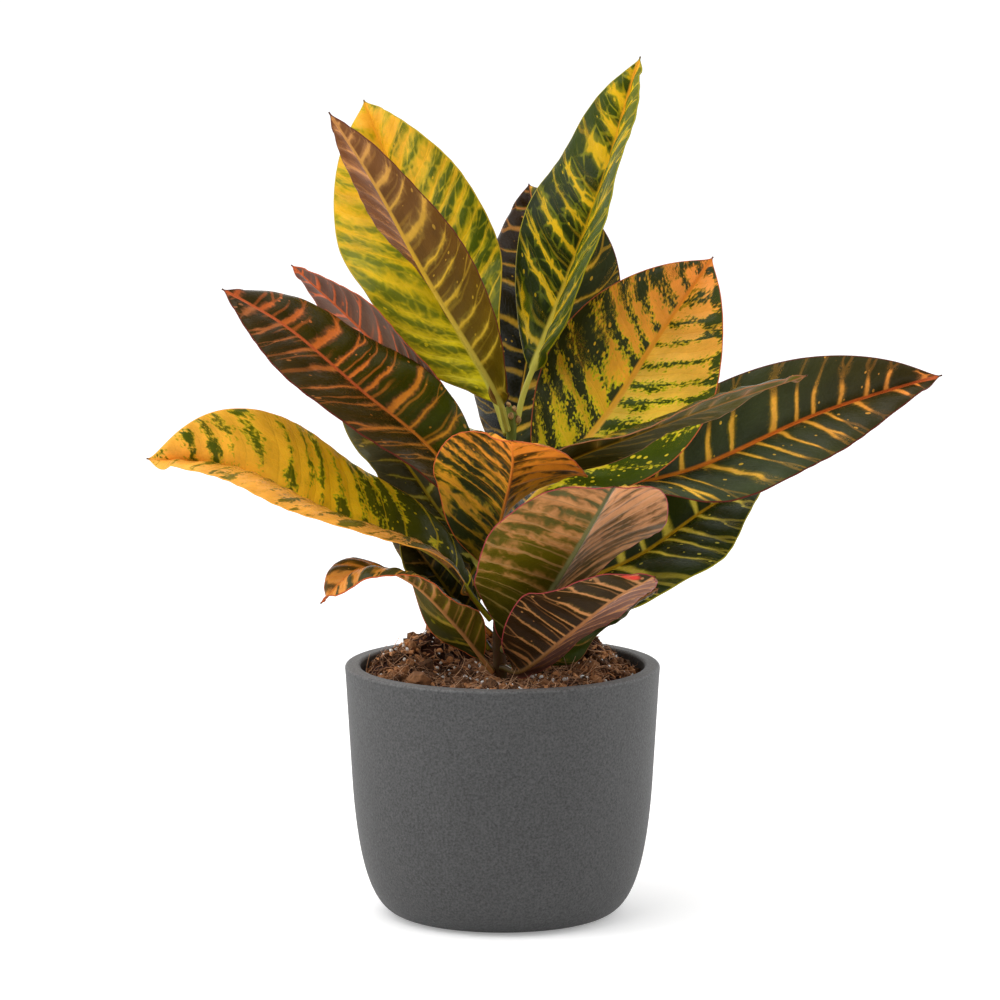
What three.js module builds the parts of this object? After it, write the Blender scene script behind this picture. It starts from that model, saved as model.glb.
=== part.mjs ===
// Potted croton: one woody stem with 24 leaves, standing in potting soil in a straight-sided round pot.
// Millimetres, +Z up. The origin is the centre of the pot's underside; the photo's viewer looks along +Y.
import * as THREE from 'three';

// Pot: outer sizes, the height where the straight wall ends, and the foot that it stands on
const POT_HEIGHT = 112;
const RIM_RADIUS = 70;
const BELLY_RADIUS = 66.8;
const BELLY_HEIGHT = 58;
const FOOT_RADIUS = 44;
const WALL = 6.9;
const FLOOR = 9;
const RIM_ROUNDING = 1.5;
const POT_SIDES = 48;
const POT_COLOUR = 0x55575a;

// Soil: its level at the stem, the ring-shaped bank round it, higher at the back, and the drop at the wall
const SOIL_LEVEL = 105;
const SOIL_BANK = 5.5;
const BANK_RADIUS = 46;
const BANK_SPREAD = 14;
const BACK_SHARE = 0.7;
const WALL_DROP = 3;
const CLUMP_HEIGHT = 1.1;
const SOIL_RINGS = 9;
const SOIL_GAP = 0.4;
const SOIL_COLOUR = 0x4a2c1e;

// Stem: the points of its axis measured from the soil level, and its radius at the foot and at the top
const STEM_AXIS = [
  [-1, -2, -36], [-1, -2, -2], [-1.5, -1, 18], [-1, 0, 40],
  [0, 1, 67], [2, 1, 93], [4, 0, 111], [3, 0, 123],
];
const STEM_FOOT_RADIUS = 3;
const STEM_TOP_RADIUS = 2;
const BUD_LENGTH = 7;
const BUD_SWELL = 1.3;
const STEM_SIDES = 10;
const STEM_STEP = 10;
const STEM_COLOUR = 0x6f7a45;

// Leaves: thickness of the blade, radius of the stalk, how far each half bulges, and the waves of the edge
const BLADE = 0.7;
const STALK_RADIUS = 1.4;
const RIB_TAPER = 0.75;
const BULGE = 0.3;
const WAVE_HEIGHT = 1.2;
const WAVES = 2.5;
const WAVE_SHIFT = 0.31;
const OTHER_SIDE_SHIFT = 0.37;
const CLEARANCE = 0.3;
const BLADE_ROWS = 16;
const END_CROWDING = 0.5;
const HALF_COLUMNS = 2;
const FOLD_STATIONS = [0.15, 0.9];
const FLAT_END = 0.06;
const TIP_POINT = 0.03;

const TO_VIEWER = new THREE.Vector3(0, -1, 0);
const UP = new THREE.Vector3(0, 0, 1);

// One row for each leaf, heights measured from the soil level.
//   from    height on the stem where the stalk leaves it
//   rib     four points of the midrib after that, the last one the tip
//   width   widest half blade; shape: how fast the blade opens from the stalk and closes to the tip
//   stalk   length of the bare stalk
//   left, right   how far each half blade turns out of the plane across "faces", in degrees,
//           at four stations from base to tip; a plus angle turns the margin towards "faces"
//   faces   the direction that the plane of the midrib is read from
//   upper   1 where the upper side of the leaf looks towards "faces", -1 where the underside does
const LEAVES = [
  { name: 'leaf_gold_back', from: 109,
    rib: [[-7, 15, 131], [-27, 33, 164.5], [-44, 51, 208.5], [-62.5, 65, 253]],
    width: 36.5, shape: [0.86, 0.8], stalk: 16, left: [23, 35, 13, 5], right: [31, 17, 32, 43],
    faces: TO_VIEWER, upper: 1, colour: 0xc2a62a },
  { name: 'leaf_brown_front', from: 112,
    rib: [[-4.5, -16, 133], [-32.5, -34, 181], [-55, -42, 223], [-74.5, -44, 254.5]],
    width: 26.5, shape: [0.81, 0.94], stalk: 14, left: [-88, -82, -68, -51], right: [55, 34, 38, 39],
    faces: TO_VIEWER, upper: -1, colour: 0x6e4f22 },
  { name: 'leaf_tall_green', from: 114,
    rib: [[10.5, 8, 130], [26, 20, 167], [46, 34, 219], [61.5, 46, 273.5]],
    width: 30, shape: [0.87, 0.94], stalk: 24, left: [-32, -15, -33, -20], right: [73, 83, 83, 76],
    faces: TO_VIEWER, upper: 1, colour: 0x4d6e2c },
  { name: 'leaf_dark_back', from: 88,
    rib: [[4.5, 16, 103], [11, 42, 138.5], [19, 66, 176], [12, 86, 213.5]],
    width: 36.5, shape: [0.85, 0.7], stalk: 8, left: [-48, -48, -27, -27], right: [10, 9, 5, 27],
    faces: TO_VIEWER, upper: 1, colour: 0x2b3a2a },
  { name: 'leaf_orange_right', from: 71,
    rib: [[26, 8, 93], [47.5, 16, 118], [70, 26, 151], [94, 34, 185]],
    width: 38, shape: [0.81, 0.9], stalk: 18, left: [-8, -10, -5, 0], right: [17, 8, 20, 27],
    faces: TO_VIEWER, upper: 1, colour: 0xb9812c },
  { name: 'leaf_narrow_right', from: 78,
    rib: [[25, -22, 99], [59, -46, 116], [97, -62, 132], [130, -70, 144]],
    width: 24, shape: [0.85, 0.9], stalk: 16, left: [60, 75, 77, 68], right: [-50, -67, -70, -80],
    faces: TO_VIEWER, upper: -1, colour: 0x5c5328 },
  { name: 'leaf_long_right', from: 53,
    rib: [[37.5, 14, 77.5], [89, 36, 90], [143, 52, 112], [199, 58, 129]],
    width: 31.5, shape: [0.79, 0.85], stalk: 30, left: [-12, -16, 0, -7], right: [89, 60, 54, 62],
    faces: TO_VIEWER, upper: 1, colour: 0x35443a },
  { name: 'leaf_low_right', from: 34,
    rib: [[28.5, 24, 37.5], [62, 46, 48], [92, 64, 66], [122, 76, 81.5]],
    width: 33.5, shape: [0.86, 0.85], stalk: 16, left: [-20, -20, -20, -20], right: [48, 62, 56, 68],
    faces: TO_VIEWER, upper: 1, colour: 0x2f4a30 },
  { name: 'leaf_front_orange', from: 33,
    rib: [[-5, -16, 56], [0, -42, 80], [4, -72, 103], [4, -100, 120]],
    width: 34, shape: [0.85, 0.65], stalk: 20, left: [60, 30, 0, 0], right: [15, 27, 22, 30],
    faces: UP, upper: 1, colour: 0xb0702a },
  { name: 'leaf_front_pink', from: 14,
    rib: [[10, -26, 26], [26, -50, 55], [38, -76, 80], [47, -104, 101]],
    width: 41, shape: [0.7, 0.6], stalk: 12, left: [25, 15, 8, 12], right: [40, 15, 12, 15],
    faces: UP, upper: 1, colour: 0x9c6f52 },
  { name: 'leaf_front_low', from: 6,
    rib: [[9, -30, 9], [27, -52, 27], [47, -72, 47], [65, -88, 60]],
    width: 27.5, shape: [0.85, 0.75], stalk: 14, left: [10, 5, 30, 40], right: [-60, -68, -62, -70],
    faces: TO_VIEWER, upper: -1, colour: 0x6a4138 },
  { name: 'leaf_red_left', from: 67,
    rib: [[-32, -13, 104.5], [-61.5, -19, 130.5], [-93, -23, 158.5], [-122, -25, 176.5]],
    width: 30.5, shape: [0.79, 0.9], stalk: 18, left: [67, 71, 56, 44], right: [-19, -41, -56, -52],
    faces: TO_VIEWER, upper: 1, colour: 0x5f3420 },
  { name: 'leaf_under_right', from: 5,
    rib: [[14, -1, 5.5], [32, -2, 18], [52, -5, 31], [69, -8, 42]],
    width: 20, shape: [0.85, 0.9], stalk: 14, left: [12, 12, 16, 20], right: [-42, -67, -75, -73],
    faces: TO_VIEWER, upper: -1, colour: 0x3c5a2e },
  { name: 'leaf_purple_left', from: 86,
    rib: [[-16.5, 11, 107.5], [-40, 17, 130.5], [-68, 23, 158.5], [-94, 27, 182]],
    width: 22.5, shape: [0.86, 0.84], stalk: 14, left: [-55, -60, -60, -60], right: [66, 56, 54, 50],
    faces: TO_VIEWER, upper: -1, colour: 0x5b4450 },
  { name: 'leaf_grey_left', from: 40,
    rib: [[-14, 10, 54], [-29.5, 18, 74], [-47, 26, 97], [-75, 32, 123]],
    width: 20, shape: [0.79, 0.96], stalk: 14, left: [60, 47, 50, 30], right: [5, 5, 5, 5],
    faces: TO_VIEWER, upper: 1, colour: 0x46534a },
  { name: 'leaf_yellow_left', from: 27,
    rib: [[-31, -10, 57.5], [-73.5, -18, 75.5], [-114, -26, 97], [-155, -32, 103]],
    width: 35.5, shape: [0.9, 0.8], stalk: 14, left: [100, 94, 87, 84], right: [-56, -51, -43, -5],
    faces: TO_VIEWER, upper: 1, colour: 0xc79a34 },
  { name: 'leaf_shade_left', from: 33,
    rib: [[-17, 10, 42], [-28, 15, 53], [-40, 21, 67.5], [-51, 27, 80]],
    width: 16, shape: [0.85, 0.88], stalk: 14, left: [-15, -15, -15, -15], right: [-50, -50, -50, -50],
    faces: TO_VIEWER, upper: 1, colour: 0x3a4a2c },
  { name: 'leaf_twisted_low', from: 4,
    rib: [[-20.5, -16, 26.5], [-40.5, -30, 48.5], [-61.5, -42, 56], [-79, -50, 42]],
    width: 19.5, shape: [0.86, 0.9], stalk: 8, left: [-28, -76, -76, -143], right: [20, 59, 80, 122],
    faces: TO_VIEWER, upper: -1, colour: 0x8a5a3c },
  { name: 'leaf_shade_low', from: 13,
    rib: [[-14, 2, 25], [-25, 2, 40], [-37, 6, 56], [-46, 10, 68]],
    width: 13, shape: [0.85, 0.9], stalk: 10, left: [40, 40, 40, 40], right: [-10, -10, -10, -10],
    faces: TO_VIEWER, upper: 1, colour: 0x33472b },
  { name: 'leaf_shade_middle', from: 19,
    rib: [[-13, 10, 27], [-18, 22, 40], [-23, 34, 55], [-32, 48, 77]],
    width: 16, shape: [0.85, 0.9], stalk: 10, left: [-20, -20, -20, -20], right: [30, 30, 30, 30],
    faces: TO_VIEWER, upper: 1, colour: 0x2c3f34 },
  { name: 'leaf_back_left', from: 71,
    rib: [[-10, 30, 78], [-26, 56, 90], [-43, 84, 98], [-59, 108, 106]],
    width: 25, shape: [0.85, 0.9], stalk: 16, left: [20, 20, 20, 20], right: [20, 20, 20, 20],
    faces: UP, upper: 1, colour: 0x55622c },
  { name: 'leaf_back_right', from: 78,
    rib: [[15, 24, 84], [34, 52, 100], [52, 80, 117], [65, 104, 133]],
    width: 25, shape: [1.2, 0.9], stalk: 16, left: [20, 20, 20, 20], right: [20, 20, 20, 20],
    faces: UP, upper: 1, colour: 0x6b6f2c },
  { name: 'leaf_back_middle', from: 53,
    rib: [[2, 30, 56], [9, 62, 66], [17, 94, 72], [25, 122, 77]],
    width: 23, shape: [0.85, 0.9], stalk: 16, left: [20, 20, 20, 20], right: [20, 20, 20, 20],
    faces: UP, upper: 1, colour: 0x4f5f33 },
  { name: 'leaf_back_low', from: 30,
    rib: [[-7, 34, 34], [-10, 62, 41], [-13, 88, 47], [-16, 110, 50]],
    width: 24, shape: [0.85, 0.9], stalk: 16, left: [20, 20, 20, 20], right: [20, 20, 20, 20],
    faces: UP, upper: 1, colour: 0x5d3f2a },
];

function curveThrough(points) {
  const vectors = points.map((point) => new THREE.Vector3(...point));
  return new THREE.CatmullRomCurve3(vectors, false, 'catmullrom', 0.5);
}

function geometryOf(points, triangles) {
  const geometry = new THREE.BufferGeometry();
  const positions = points.flatMap((point) => [point.x, point.y, point.z]);
  geometry.setAttribute('position', new THREE.Float32BufferAttribute(positions, 3));
  geometry.setIndex(triangles);
  geometry.computeVertexNormals();
  return geometry;
}

function meshOf(name, geometry, colour, roughness) {
  const material = new THREE.MeshStandardMaterial({ color: colour, roughness, metalness: 0 });
  const mesh = new THREE.Mesh(geometry, material);
  mesh.name = name;
  return mesh;
}

// A closed skin over a stack of rings, each counterclockwise from above, with a point closing each end
function skinOver(rings) {
  const sides = rings[0].length;
  const points = rings.flat();
  const middleOf = (ring) => ring.reduce((sum, p) => sum.add(p), new THREE.Vector3()).divideScalar(sides);
  const firstPole = points.push(middleOf(rings[0])) - 1;
  const lastPole = points.push(middleOf(rings[rings.length - 1])) - 1;
  const lastRing = (rings.length - 1) * sides;
  const triangles = [];
  for (let side = 0; side < sides; side += 1) {
    const next = (side + 1) % sides;
    triangles.push(firstPole, next, side);
    triangles.push(lastPole, lastRing + side, lastRing + next);
    for (let ring = 0; ring < rings.length - 1; ring += 1) {
      const a = ring * sides + side;
      const b = ring * sides + next;
      triangles.push(a, b, b + sides);
      triangles.push(a, b + sides, a + sides);
    }
  }
  return geometryOf(points, triangles);
}

// The outer and inner lines of the pot, each from its flat bottom up to the straight wall
const outerBend = new THREE.CubicBezierCurve(
  new THREE.Vector2(FOOT_RADIUS, 0),
  new THREE.Vector2(57, 0),
  new THREE.Vector2(64, 18),
  new THREE.Vector2(BELLY_RADIUS, BELLY_HEIGHT),
);
const innerBend = new THREE.CubicBezierCurve(
  new THREE.Vector2(FOOT_RADIUS - WALL, FLOOR),
  new THREE.Vector2(51, FLOOR),
  new THREE.Vector2(57, 24),
  new THREE.Vector2(BELLY_RADIUS - WALL, BELLY_HEIGHT),
);
const OUTER_STEPS = 7;
const INNER_STEPS = 6;

function wallRadius(height) {
  const slope = (RIM_RADIUS - BELLY_RADIUS) / (POT_HEIGHT - BELLY_HEIGHT);
  return BELLY_RADIUS + slope * (height - BELLY_HEIGHT);
}

function buildPot() {
  const round = RIM_ROUNDING;
  const inside = RIM_RADIUS - WALL;
  const rim = [
    new THREE.Vector2(wallRadius(POT_HEIGHT - round), POT_HEIGHT - round),
    new THREE.Vector2(RIM_RADIUS - 0.3 * round, POT_HEIGHT - 0.3 * round),
    new THREE.Vector2(RIM_RADIUS - round, POT_HEIGHT),
    new THREE.Vector2(inside + round, POT_HEIGHT),
    new THREE.Vector2(inside + 0.3 * round, POT_HEIGHT - 0.3 * round),
    new THREE.Vector2(wallRadius(POT_HEIGHT - round) - WALL, POT_HEIGHT - round),
  ];
  const profile = [
    new THREE.Vector2(0, 0),
    ...outerBend.getPoints(OUTER_STEPS),
    ...rim,
    ...innerBend.getPoints(INNER_STEPS).reverse(),
    new THREE.Vector2(0, FLOOR),
  ];
  const geometry = new THREE.LatheGeometry(profile, POT_SIDES);
  geometry.rotateX(Math.PI / 2);
  return meshOf('pot', geometry, POT_COLOUR, 0.9);
}

const stemCurve = curveThrough(STEM_AXIS);

// The point on the stem's axis at a height above the soil, and the stem's radius there
function stemAt(height) {
  let low = 0;
  let high = 1;
  for (let step = 0; step < 30; step += 1) {
    const middle = (low + high) / 2;
    if (stemCurve.getPoint(middle).z < height) low = middle;
    else high = middle;
  }
  const top = STEM_AXIS[STEM_AXIS.length - 1][2];
  const share = THREE.MathUtils.clamp(height / top, 0, 1);
  const radius = THREE.MathUtils.lerp(STEM_FOOT_RADIUS, STEM_TOP_RADIUS, share);
  return { centre: stemCurve.getPoint(low), radius };
}

function ringAt(centre, radius, sides) {
  const ring = [];
  for (let side = 0; side < sides; side += 1) {
    const angle = (2 * Math.PI * side) / sides;
    const x = centre.x + radius * Math.cos(angle);
    const y = centre.y + radius * Math.sin(angle);
    ring.push(new THREE.Vector3(x, y, centre.z));
  }
  return ring;
}

// The stem is a stack of level rings that closes in a pointed bud
function buildStem() {
  const bottom = STEM_AXIS[0][2];
  const top = STEM_AXIS[STEM_AXIS.length - 1][2];
  const rings = [];
  for (let height = bottom; height < top - BUD_LENGTH; height += STEM_STEP) {
    const { centre, radius } = stemAt(height);
    rings.push(ringAt(centre, radius, STEM_SIDES));
  }
  const bud = [[BUD_LENGTH, 1], [0.65 * BUD_LENGTH, BUD_SWELL], [0.25 * BUD_LENGTH, 0.9], [0, 0.25]];
  for (const [below, swell] of bud) {
    const { centre } = stemAt(top - below);
    rings.push(ringAt(centre, STEM_TOP_RADIUS * swell, STEM_SIDES));
  }
  return meshOf('stem', skinOver(rings), STEM_COLOUR, 0.7);
}

// Height of the soil over its level at the stem: the bank round it, with clumps as crossed waves
function soilHeight(x, y) {
  const distance = Math.hypot(x, y);
  const hump = Math.exp(-(((distance - BANK_RADIUS) / BANK_SPREAD) ** 2));
  const bank = SOIL_BANK * (1 + (BACK_SHARE * y) / distance) * hump;
  const drop = WALL_DROP * THREE.MathUtils.smoothstep(distance, BANK_RADIUS, RIM_RADIUS - WALL);
  const clumps = Math.sin(x / 5.3 + 1) * Math.cos(y / 4.7) + 0.6 * Math.sin((x + y) / 6.1 + 2);
  const fade = THREE.MathUtils.smoothstep(distance, 20, 40);
  return bank - drop + CLUMP_HEIGHT * clumps * fade;
}

// The soil fills the pot, a small gap clear of its wall, with a plain hole that the stem stands in
function buildSoil() {
  const foot = stemAt(0).centre;
  const hole = stemAt(0).radius + SOIL_GAP;
  const edge = wallRadius(SOIL_LEVEL - WALL_DROP) - WALL - SOIL_GAP;
  const rings = innerBend.getPoints(INNER_STEPS).map((point) => (
    ringAt(new THREE.Vector3(0, 0, point.y + SOIL_GAP), point.x - SOIL_GAP, POT_SIDES)
  ));
  for (let step = 0; step <= SOIL_RINGS; step += 1) {
    const share = step / SOIL_RINGS;
    const ring = ringAt(new THREE.Vector3(0, 0, 0), 1, POT_SIDES);
    for (const point of ring) {
      const x = THREE.MathUtils.lerp(point.x * edge, foot.x + point.x * hole, share);
      const y = THREE.MathUtils.lerp(point.y * edge, foot.y + point.y * hole, share);
      point.set(x, y, SOIL_LEVEL + soilHeight(x, y));
    }
    rings.push(ring);
  }
  const holeBottom = SOIL_LEVEL + STEM_AXIS[0][2] - SOIL_GAP;
  rings.push(ringAt(new THREE.Vector3(foot.x, foot.y, holeBottom), hole, POT_SIDES));
  return meshOf('soil', skinOver(rings), SOIL_COLOUR, 1);
}

// The stalk starts on the stem's skin, on the side that the leaf grows to, clear of it by CLEARANCE
function stalkStart(leaf) {
  const first = new THREE.Vector3(...leaf.rib[0]);
  const { centre, radius } = stemAt(leaf.from);
  const outward = first.clone().sub(centre).setZ(0).normalize();
  const start = centre.clone().addScaledVector(outward, radius + CLEARANCE);
  for (let step = 0; step < 4; step += 1) {
    const along = first.clone().sub(start).normalize().dot(outward);
    const tilt = STALK_RADIUS * Math.sqrt(Math.max(0, 1 - along * along));
    start.copy(centre).addScaledVector(outward, radius + CLEARANCE + tilt);
  }
  return start;
}

// Half the width of the blade at a share of its length: x^a (1 - x)^b, scaled to the widest half blade and
// drawn in to a point over about the last TIP_POINT of the length
function bladeWidth(leaf, share) {
  const [opens, closes] = leaf.shape;
  const widest = opens / (opens + closes);
  const peak = widest ** opens * (1 - widest) ** closes;
  const point = 1 - Math.exp((share - 1) / TIP_POINT);
  return (leaf.width * share ** opens * (1 - share) ** closes * point) / peak;
}

// The angle that a half blade is turned by, which fades to nothing at the stalk and at the tip
function foldAt(angles, share) {
  const curve = curveThrough(angles.map((angle) => [angle, 0, 0]));
  const [first, last] = FOLD_STATIONS;
  const place = THREE.MathUtils.clamp((share - first) / (last - first), 0, 1);
  const fade = Math.min(1, share / FLAT_END, (1 - share) / FLAT_END);
  return THREE.MathUtils.degToRad(curve.getPoint(place).x) * fade;
}

// One row of points across a leaf: the middle of the blade, the direction square to it and half its thickness
function leafRow(leaf, index, curve, length, place) {
  const stalk = leaf.stalk / length;
  const share = THREE.MathUtils.clamp((place - stalk) / (1 - stalk), 0, 1);
  const rib = curve.getPointAt(place);
  const along = curve.getTangentAt(place);
  const across = along.clone().cross(leaf.faces).normalize();
  const front = across.clone().cross(along);
  const ribRadius = STALK_RADIUS * (1 - RIB_TAPER * place);
  const width = Math.max(bladeWidth(leaf, share), ribRadius);
  const folds = { left: foldAt(leaf.left, share), right: foldAt(leaf.right, share) };
  const squareTo = (fold, side) => (
    across.clone().multiplyScalar(-side * Math.sin(fold)).addScaledVector(front, Math.cos(fold))
  );
  const row = [];
  for (let column = -HALF_COLUMNS; column <= HALF_COLUMNS; column += 1) {
    const out = Math.abs(column) / HALF_COLUMNS;
    const side = column < 0 ? -1 : 1;
    const fold = column < 0 ? folds.left : folds.right;
    const phase = index * WAVE_SHIFT + (column < 0 ? OTHER_SIDE_SHIFT : 0);
    const wave = WAVE_HEIGHT * Math.sin(2 * Math.PI * (WAVES * share + phase)) * out * out;
    const lift = wave * Math.min(1, width / leaf.width) + leaf.upper * BULGE * width * out * (1 - out);
    let square = squareTo(fold, side);
    if (column === 0) square = squareTo(folds.left, -1).add(squareTo(folds.right, 1)).normalize();
    const point = rib.clone()
      .addScaledVector(across, side * Math.cos(fold) * width * out)
      .addScaledVector(front, Math.sin(fold) * width * out)
      .addScaledVector(square, lift);
    const fromRib = Math.min(out * width, ribRadius);
    const round = out < 1 ? Math.sqrt(ribRadius * ribRadius - fromRib * fromRib) : 0;
    row.push({ point, square, half: Math.max(BLADE / 2, round) });
  }
  return row;
}

// A leaf: two like grids of points, a blade's thickness apart, joined round the edge
function buildLeaf(leaf, index) {
  const start = stalkStart(leaf);
  const curve = curveThrough([start.toArray(), ...leaf.rib]);
  const length = curve.getLength();
  const stalk = leaf.stalk / length;
  const places = [0, stalk / 2];
  for (let step = 0; step <= BLADE_ROWS; step += 1) {
    const turn = (2 * Math.PI * step) / BLADE_ROWS;
    const share = step / BLADE_ROWS - (END_CROWDING * Math.sin(turn)) / (2 * Math.PI);
    places.push(Math.min(1, THREE.MathUtils.lerp(stalk, 1, share)));
  }
  const rows = places.map((place) => leafRow(leaf, index, curve, length, place));
  const cells = rows.flat();
  const faceA = cells.map(({ point, square, half }) => point.clone().addScaledVector(square, half));
  const faceB = cells.map(({ point, square, half }) => point.clone().addScaledVector(square, -half));
  const columns = rows[0].length;
  const other = cells.length;
  const triangles = [];
  const quad = (a, b, c, d) => triangles.push(a, b, c, a, c, d);
  for (let row = 0; row < rows.length - 1; row += 1) {
    for (let column = 0; column < columns - 1; column += 1) {
      const a = row * columns + column;
      const b = a + columns;
      quad(a, a + 1, b + 1, b);
      triangles.push(other + a, other + b + 1, other + a + 1);
      triangles.push(other + a, other + b, other + b + 1);
    }
    const left = row * columns;
    const right = left + columns - 1;
    quad(left, left + columns, other + left + columns, other + left);
    quad(right, other + right, other + right + columns, right + columns);
  }
  const tip = (rows.length - 1) * columns;
  for (let column = 0; column < columns - 1; column += 1) {
    quad(column, other + column, other + column + 1, column + 1);
    quad(tip + column, tip + column + 1, other + tip + column + 1, other + tip + column);
  }
  return meshOf(leaf.name, geometryOf([...faceA, ...faceB], triangles), leaf.colour, 0.45);
}

const plant = new THREE.Group();
plant.position.z = SOIL_LEVEL;
plant.add(buildStem());
LEAVES.forEach((leaf, index) => plant.add(buildLeaf(leaf, index)));

const pottedCroton = new THREE.Group();
pottedCroton.add(buildPot(), buildSoil(), plant);

export default pottedCroton;
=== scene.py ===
# Potted croton, dressed for the render: veined leaves, woody stem, potting mix and a fibre cement pot.
# The frame is in metres with +Z up; the tables and formulas below are in millimetres, as in part.mjs.
import math
from functools import partial

import bpy
import numpy as np
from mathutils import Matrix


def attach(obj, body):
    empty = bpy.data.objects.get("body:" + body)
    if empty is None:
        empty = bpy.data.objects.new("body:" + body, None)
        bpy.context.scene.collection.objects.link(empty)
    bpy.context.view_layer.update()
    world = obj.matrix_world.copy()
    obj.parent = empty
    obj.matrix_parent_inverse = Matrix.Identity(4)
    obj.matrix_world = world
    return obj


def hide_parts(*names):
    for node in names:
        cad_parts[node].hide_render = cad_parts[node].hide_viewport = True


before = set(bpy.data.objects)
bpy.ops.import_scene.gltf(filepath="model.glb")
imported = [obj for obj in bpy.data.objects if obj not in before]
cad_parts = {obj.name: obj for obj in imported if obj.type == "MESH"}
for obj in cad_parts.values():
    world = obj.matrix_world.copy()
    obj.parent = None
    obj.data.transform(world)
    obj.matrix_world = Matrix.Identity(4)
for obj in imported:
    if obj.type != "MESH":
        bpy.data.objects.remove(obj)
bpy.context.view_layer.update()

bl_info = {
    "name": "Potted Croton",
    "version": (1, 0, 0),
    "blender": (4, 5, 0),
    "location": "3D View > Sidebar > Croton",
    "description": "Builds a croton with veined leaves in a round pot, on a plain pale stage",
    "category": "Add Mesh",
}

MM = 0.001

# Pot: outer sizes, the height where the straight wall begins, and the foot
POT_HEIGHT = 112.0
RIM_RADIUS = 70.0
BELLY_RADIUS = 66.8
BELLY_HEIGHT = 58.0
FOOT_RADIUS = 44.0
WALL = 6.9
FLOOR = 9.0
RIM_ROUNDING = 1.5

# Soil: its level at the stem, the ring-shaped bank round it and the drop at the wall
SOIL_LEVEL = 105.0
SOIL_BANK = 5.5
BANK_RADIUS = 46.0
BANK_SPREAD = 14.0
BACK_SHARE = 0.7
WALL_DROP = 3.0
CLUMP_HEIGHT = 1.1

# Heaps of loose mix that stand above its even top: x, y, spread and height
HEAPS = ((-46, 33, 8, 6), (-29, 38, 5, 9), (42, 37, 8, 6), (-55, 12, 7, 3))

# How deep the soil's skin goes down at the wall. What lies loose on it: the distance kept from the stem, the
# number of bark chips and the points of a fibre
SKIRT_DEPTH = 9
STEM_CLEAR = 4.5
CHIPS = 300
FIBRE_STEPS = 7

# Stem: its axis measured from the soil level, its radius at the foot and at the top, then its tip: the
# length, the width from the point down as a share of the radius below, and the number, reach and spread of
# the buds
STEM_AXIS = [
    (-1, -2, -36), (-1, -2, -2), (-1.5, -1, 18), (-1, 0, 40),
    (0, 1, 67), (2, 1, 93), (4, 0, 111), (3, 0, 123),
]
STEM_FOOT_RADIUS = 3
STEM_TOP_RADIUS = 2.0
BUD_LENGTH = 7.0
BUD_FORM = (0.2, 0.9, 1.3, 1)
BUD_COUNT = 8
BUD_REACH = 3.4
BUD_SPREAD = 3.5

# Leaves: the same form as in the part's source, on a finer grid
STALK_RADIUS = 1.4
RIB_TAPER = 0.75
BULGE = 0.3
WAVE_HEIGHT = 1.2
WAVES = 2.5
WAVE_SHIFT = 0.31
OTHER_SIDE_SHIFT = 0.37
CLEARANCE = 0.3
END_CROWDING = 0.5
FOLD_STATIONS = (0.15, 0.9)
FLAT_END = 0.06
TIP_POINT = 0.03
STALK_ROWS = 12
BLADE_ROWS = 124
RIB_COLUMNS = 4
BLADE_COLUMNS = 13
RIB_SHARE = 0.25

# On the finer grid alone: the strip inside the margin, the ripple of the margin, the height of the side veins
# on the underside, and the width of the coloured rim
MARGIN_STRIP = 0.45
CRINKLE = 0.16
VEIN_RELIEF = 0.22
RIM_WIDTH = 0.42

# Stage, in metres: the camera's lens (in mm), its place and its look down (in degrees), half the width of
# the floor, what the lights are aimed at, and for each softbox its place, width and share of the power
CAMERA_LENS = 178.2
CAMERA_PLACE = (-0.001111, -2.167504, 0.495640)
CAMERA_TILT = 8.15
FLOOR_HALF = 26.0
AIM = (0.0, 0.0, 0.2)
SOFTBOXES = (
    ("Softbox over the plant", (-0.5, -0.5, 1.6), 1.3, 1.0),
    ("Softbox at the left", (-1.5, -0.3, 0.7), 1.0, 0.4),
    ("Softbox at the right", (1.5, 0.3, 0.7), 1.0, 0.35),
)

TO_VIEWER = (0.0, -1.0, 0.0)
UP = (0.0, 0.0, 1.0)

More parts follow.
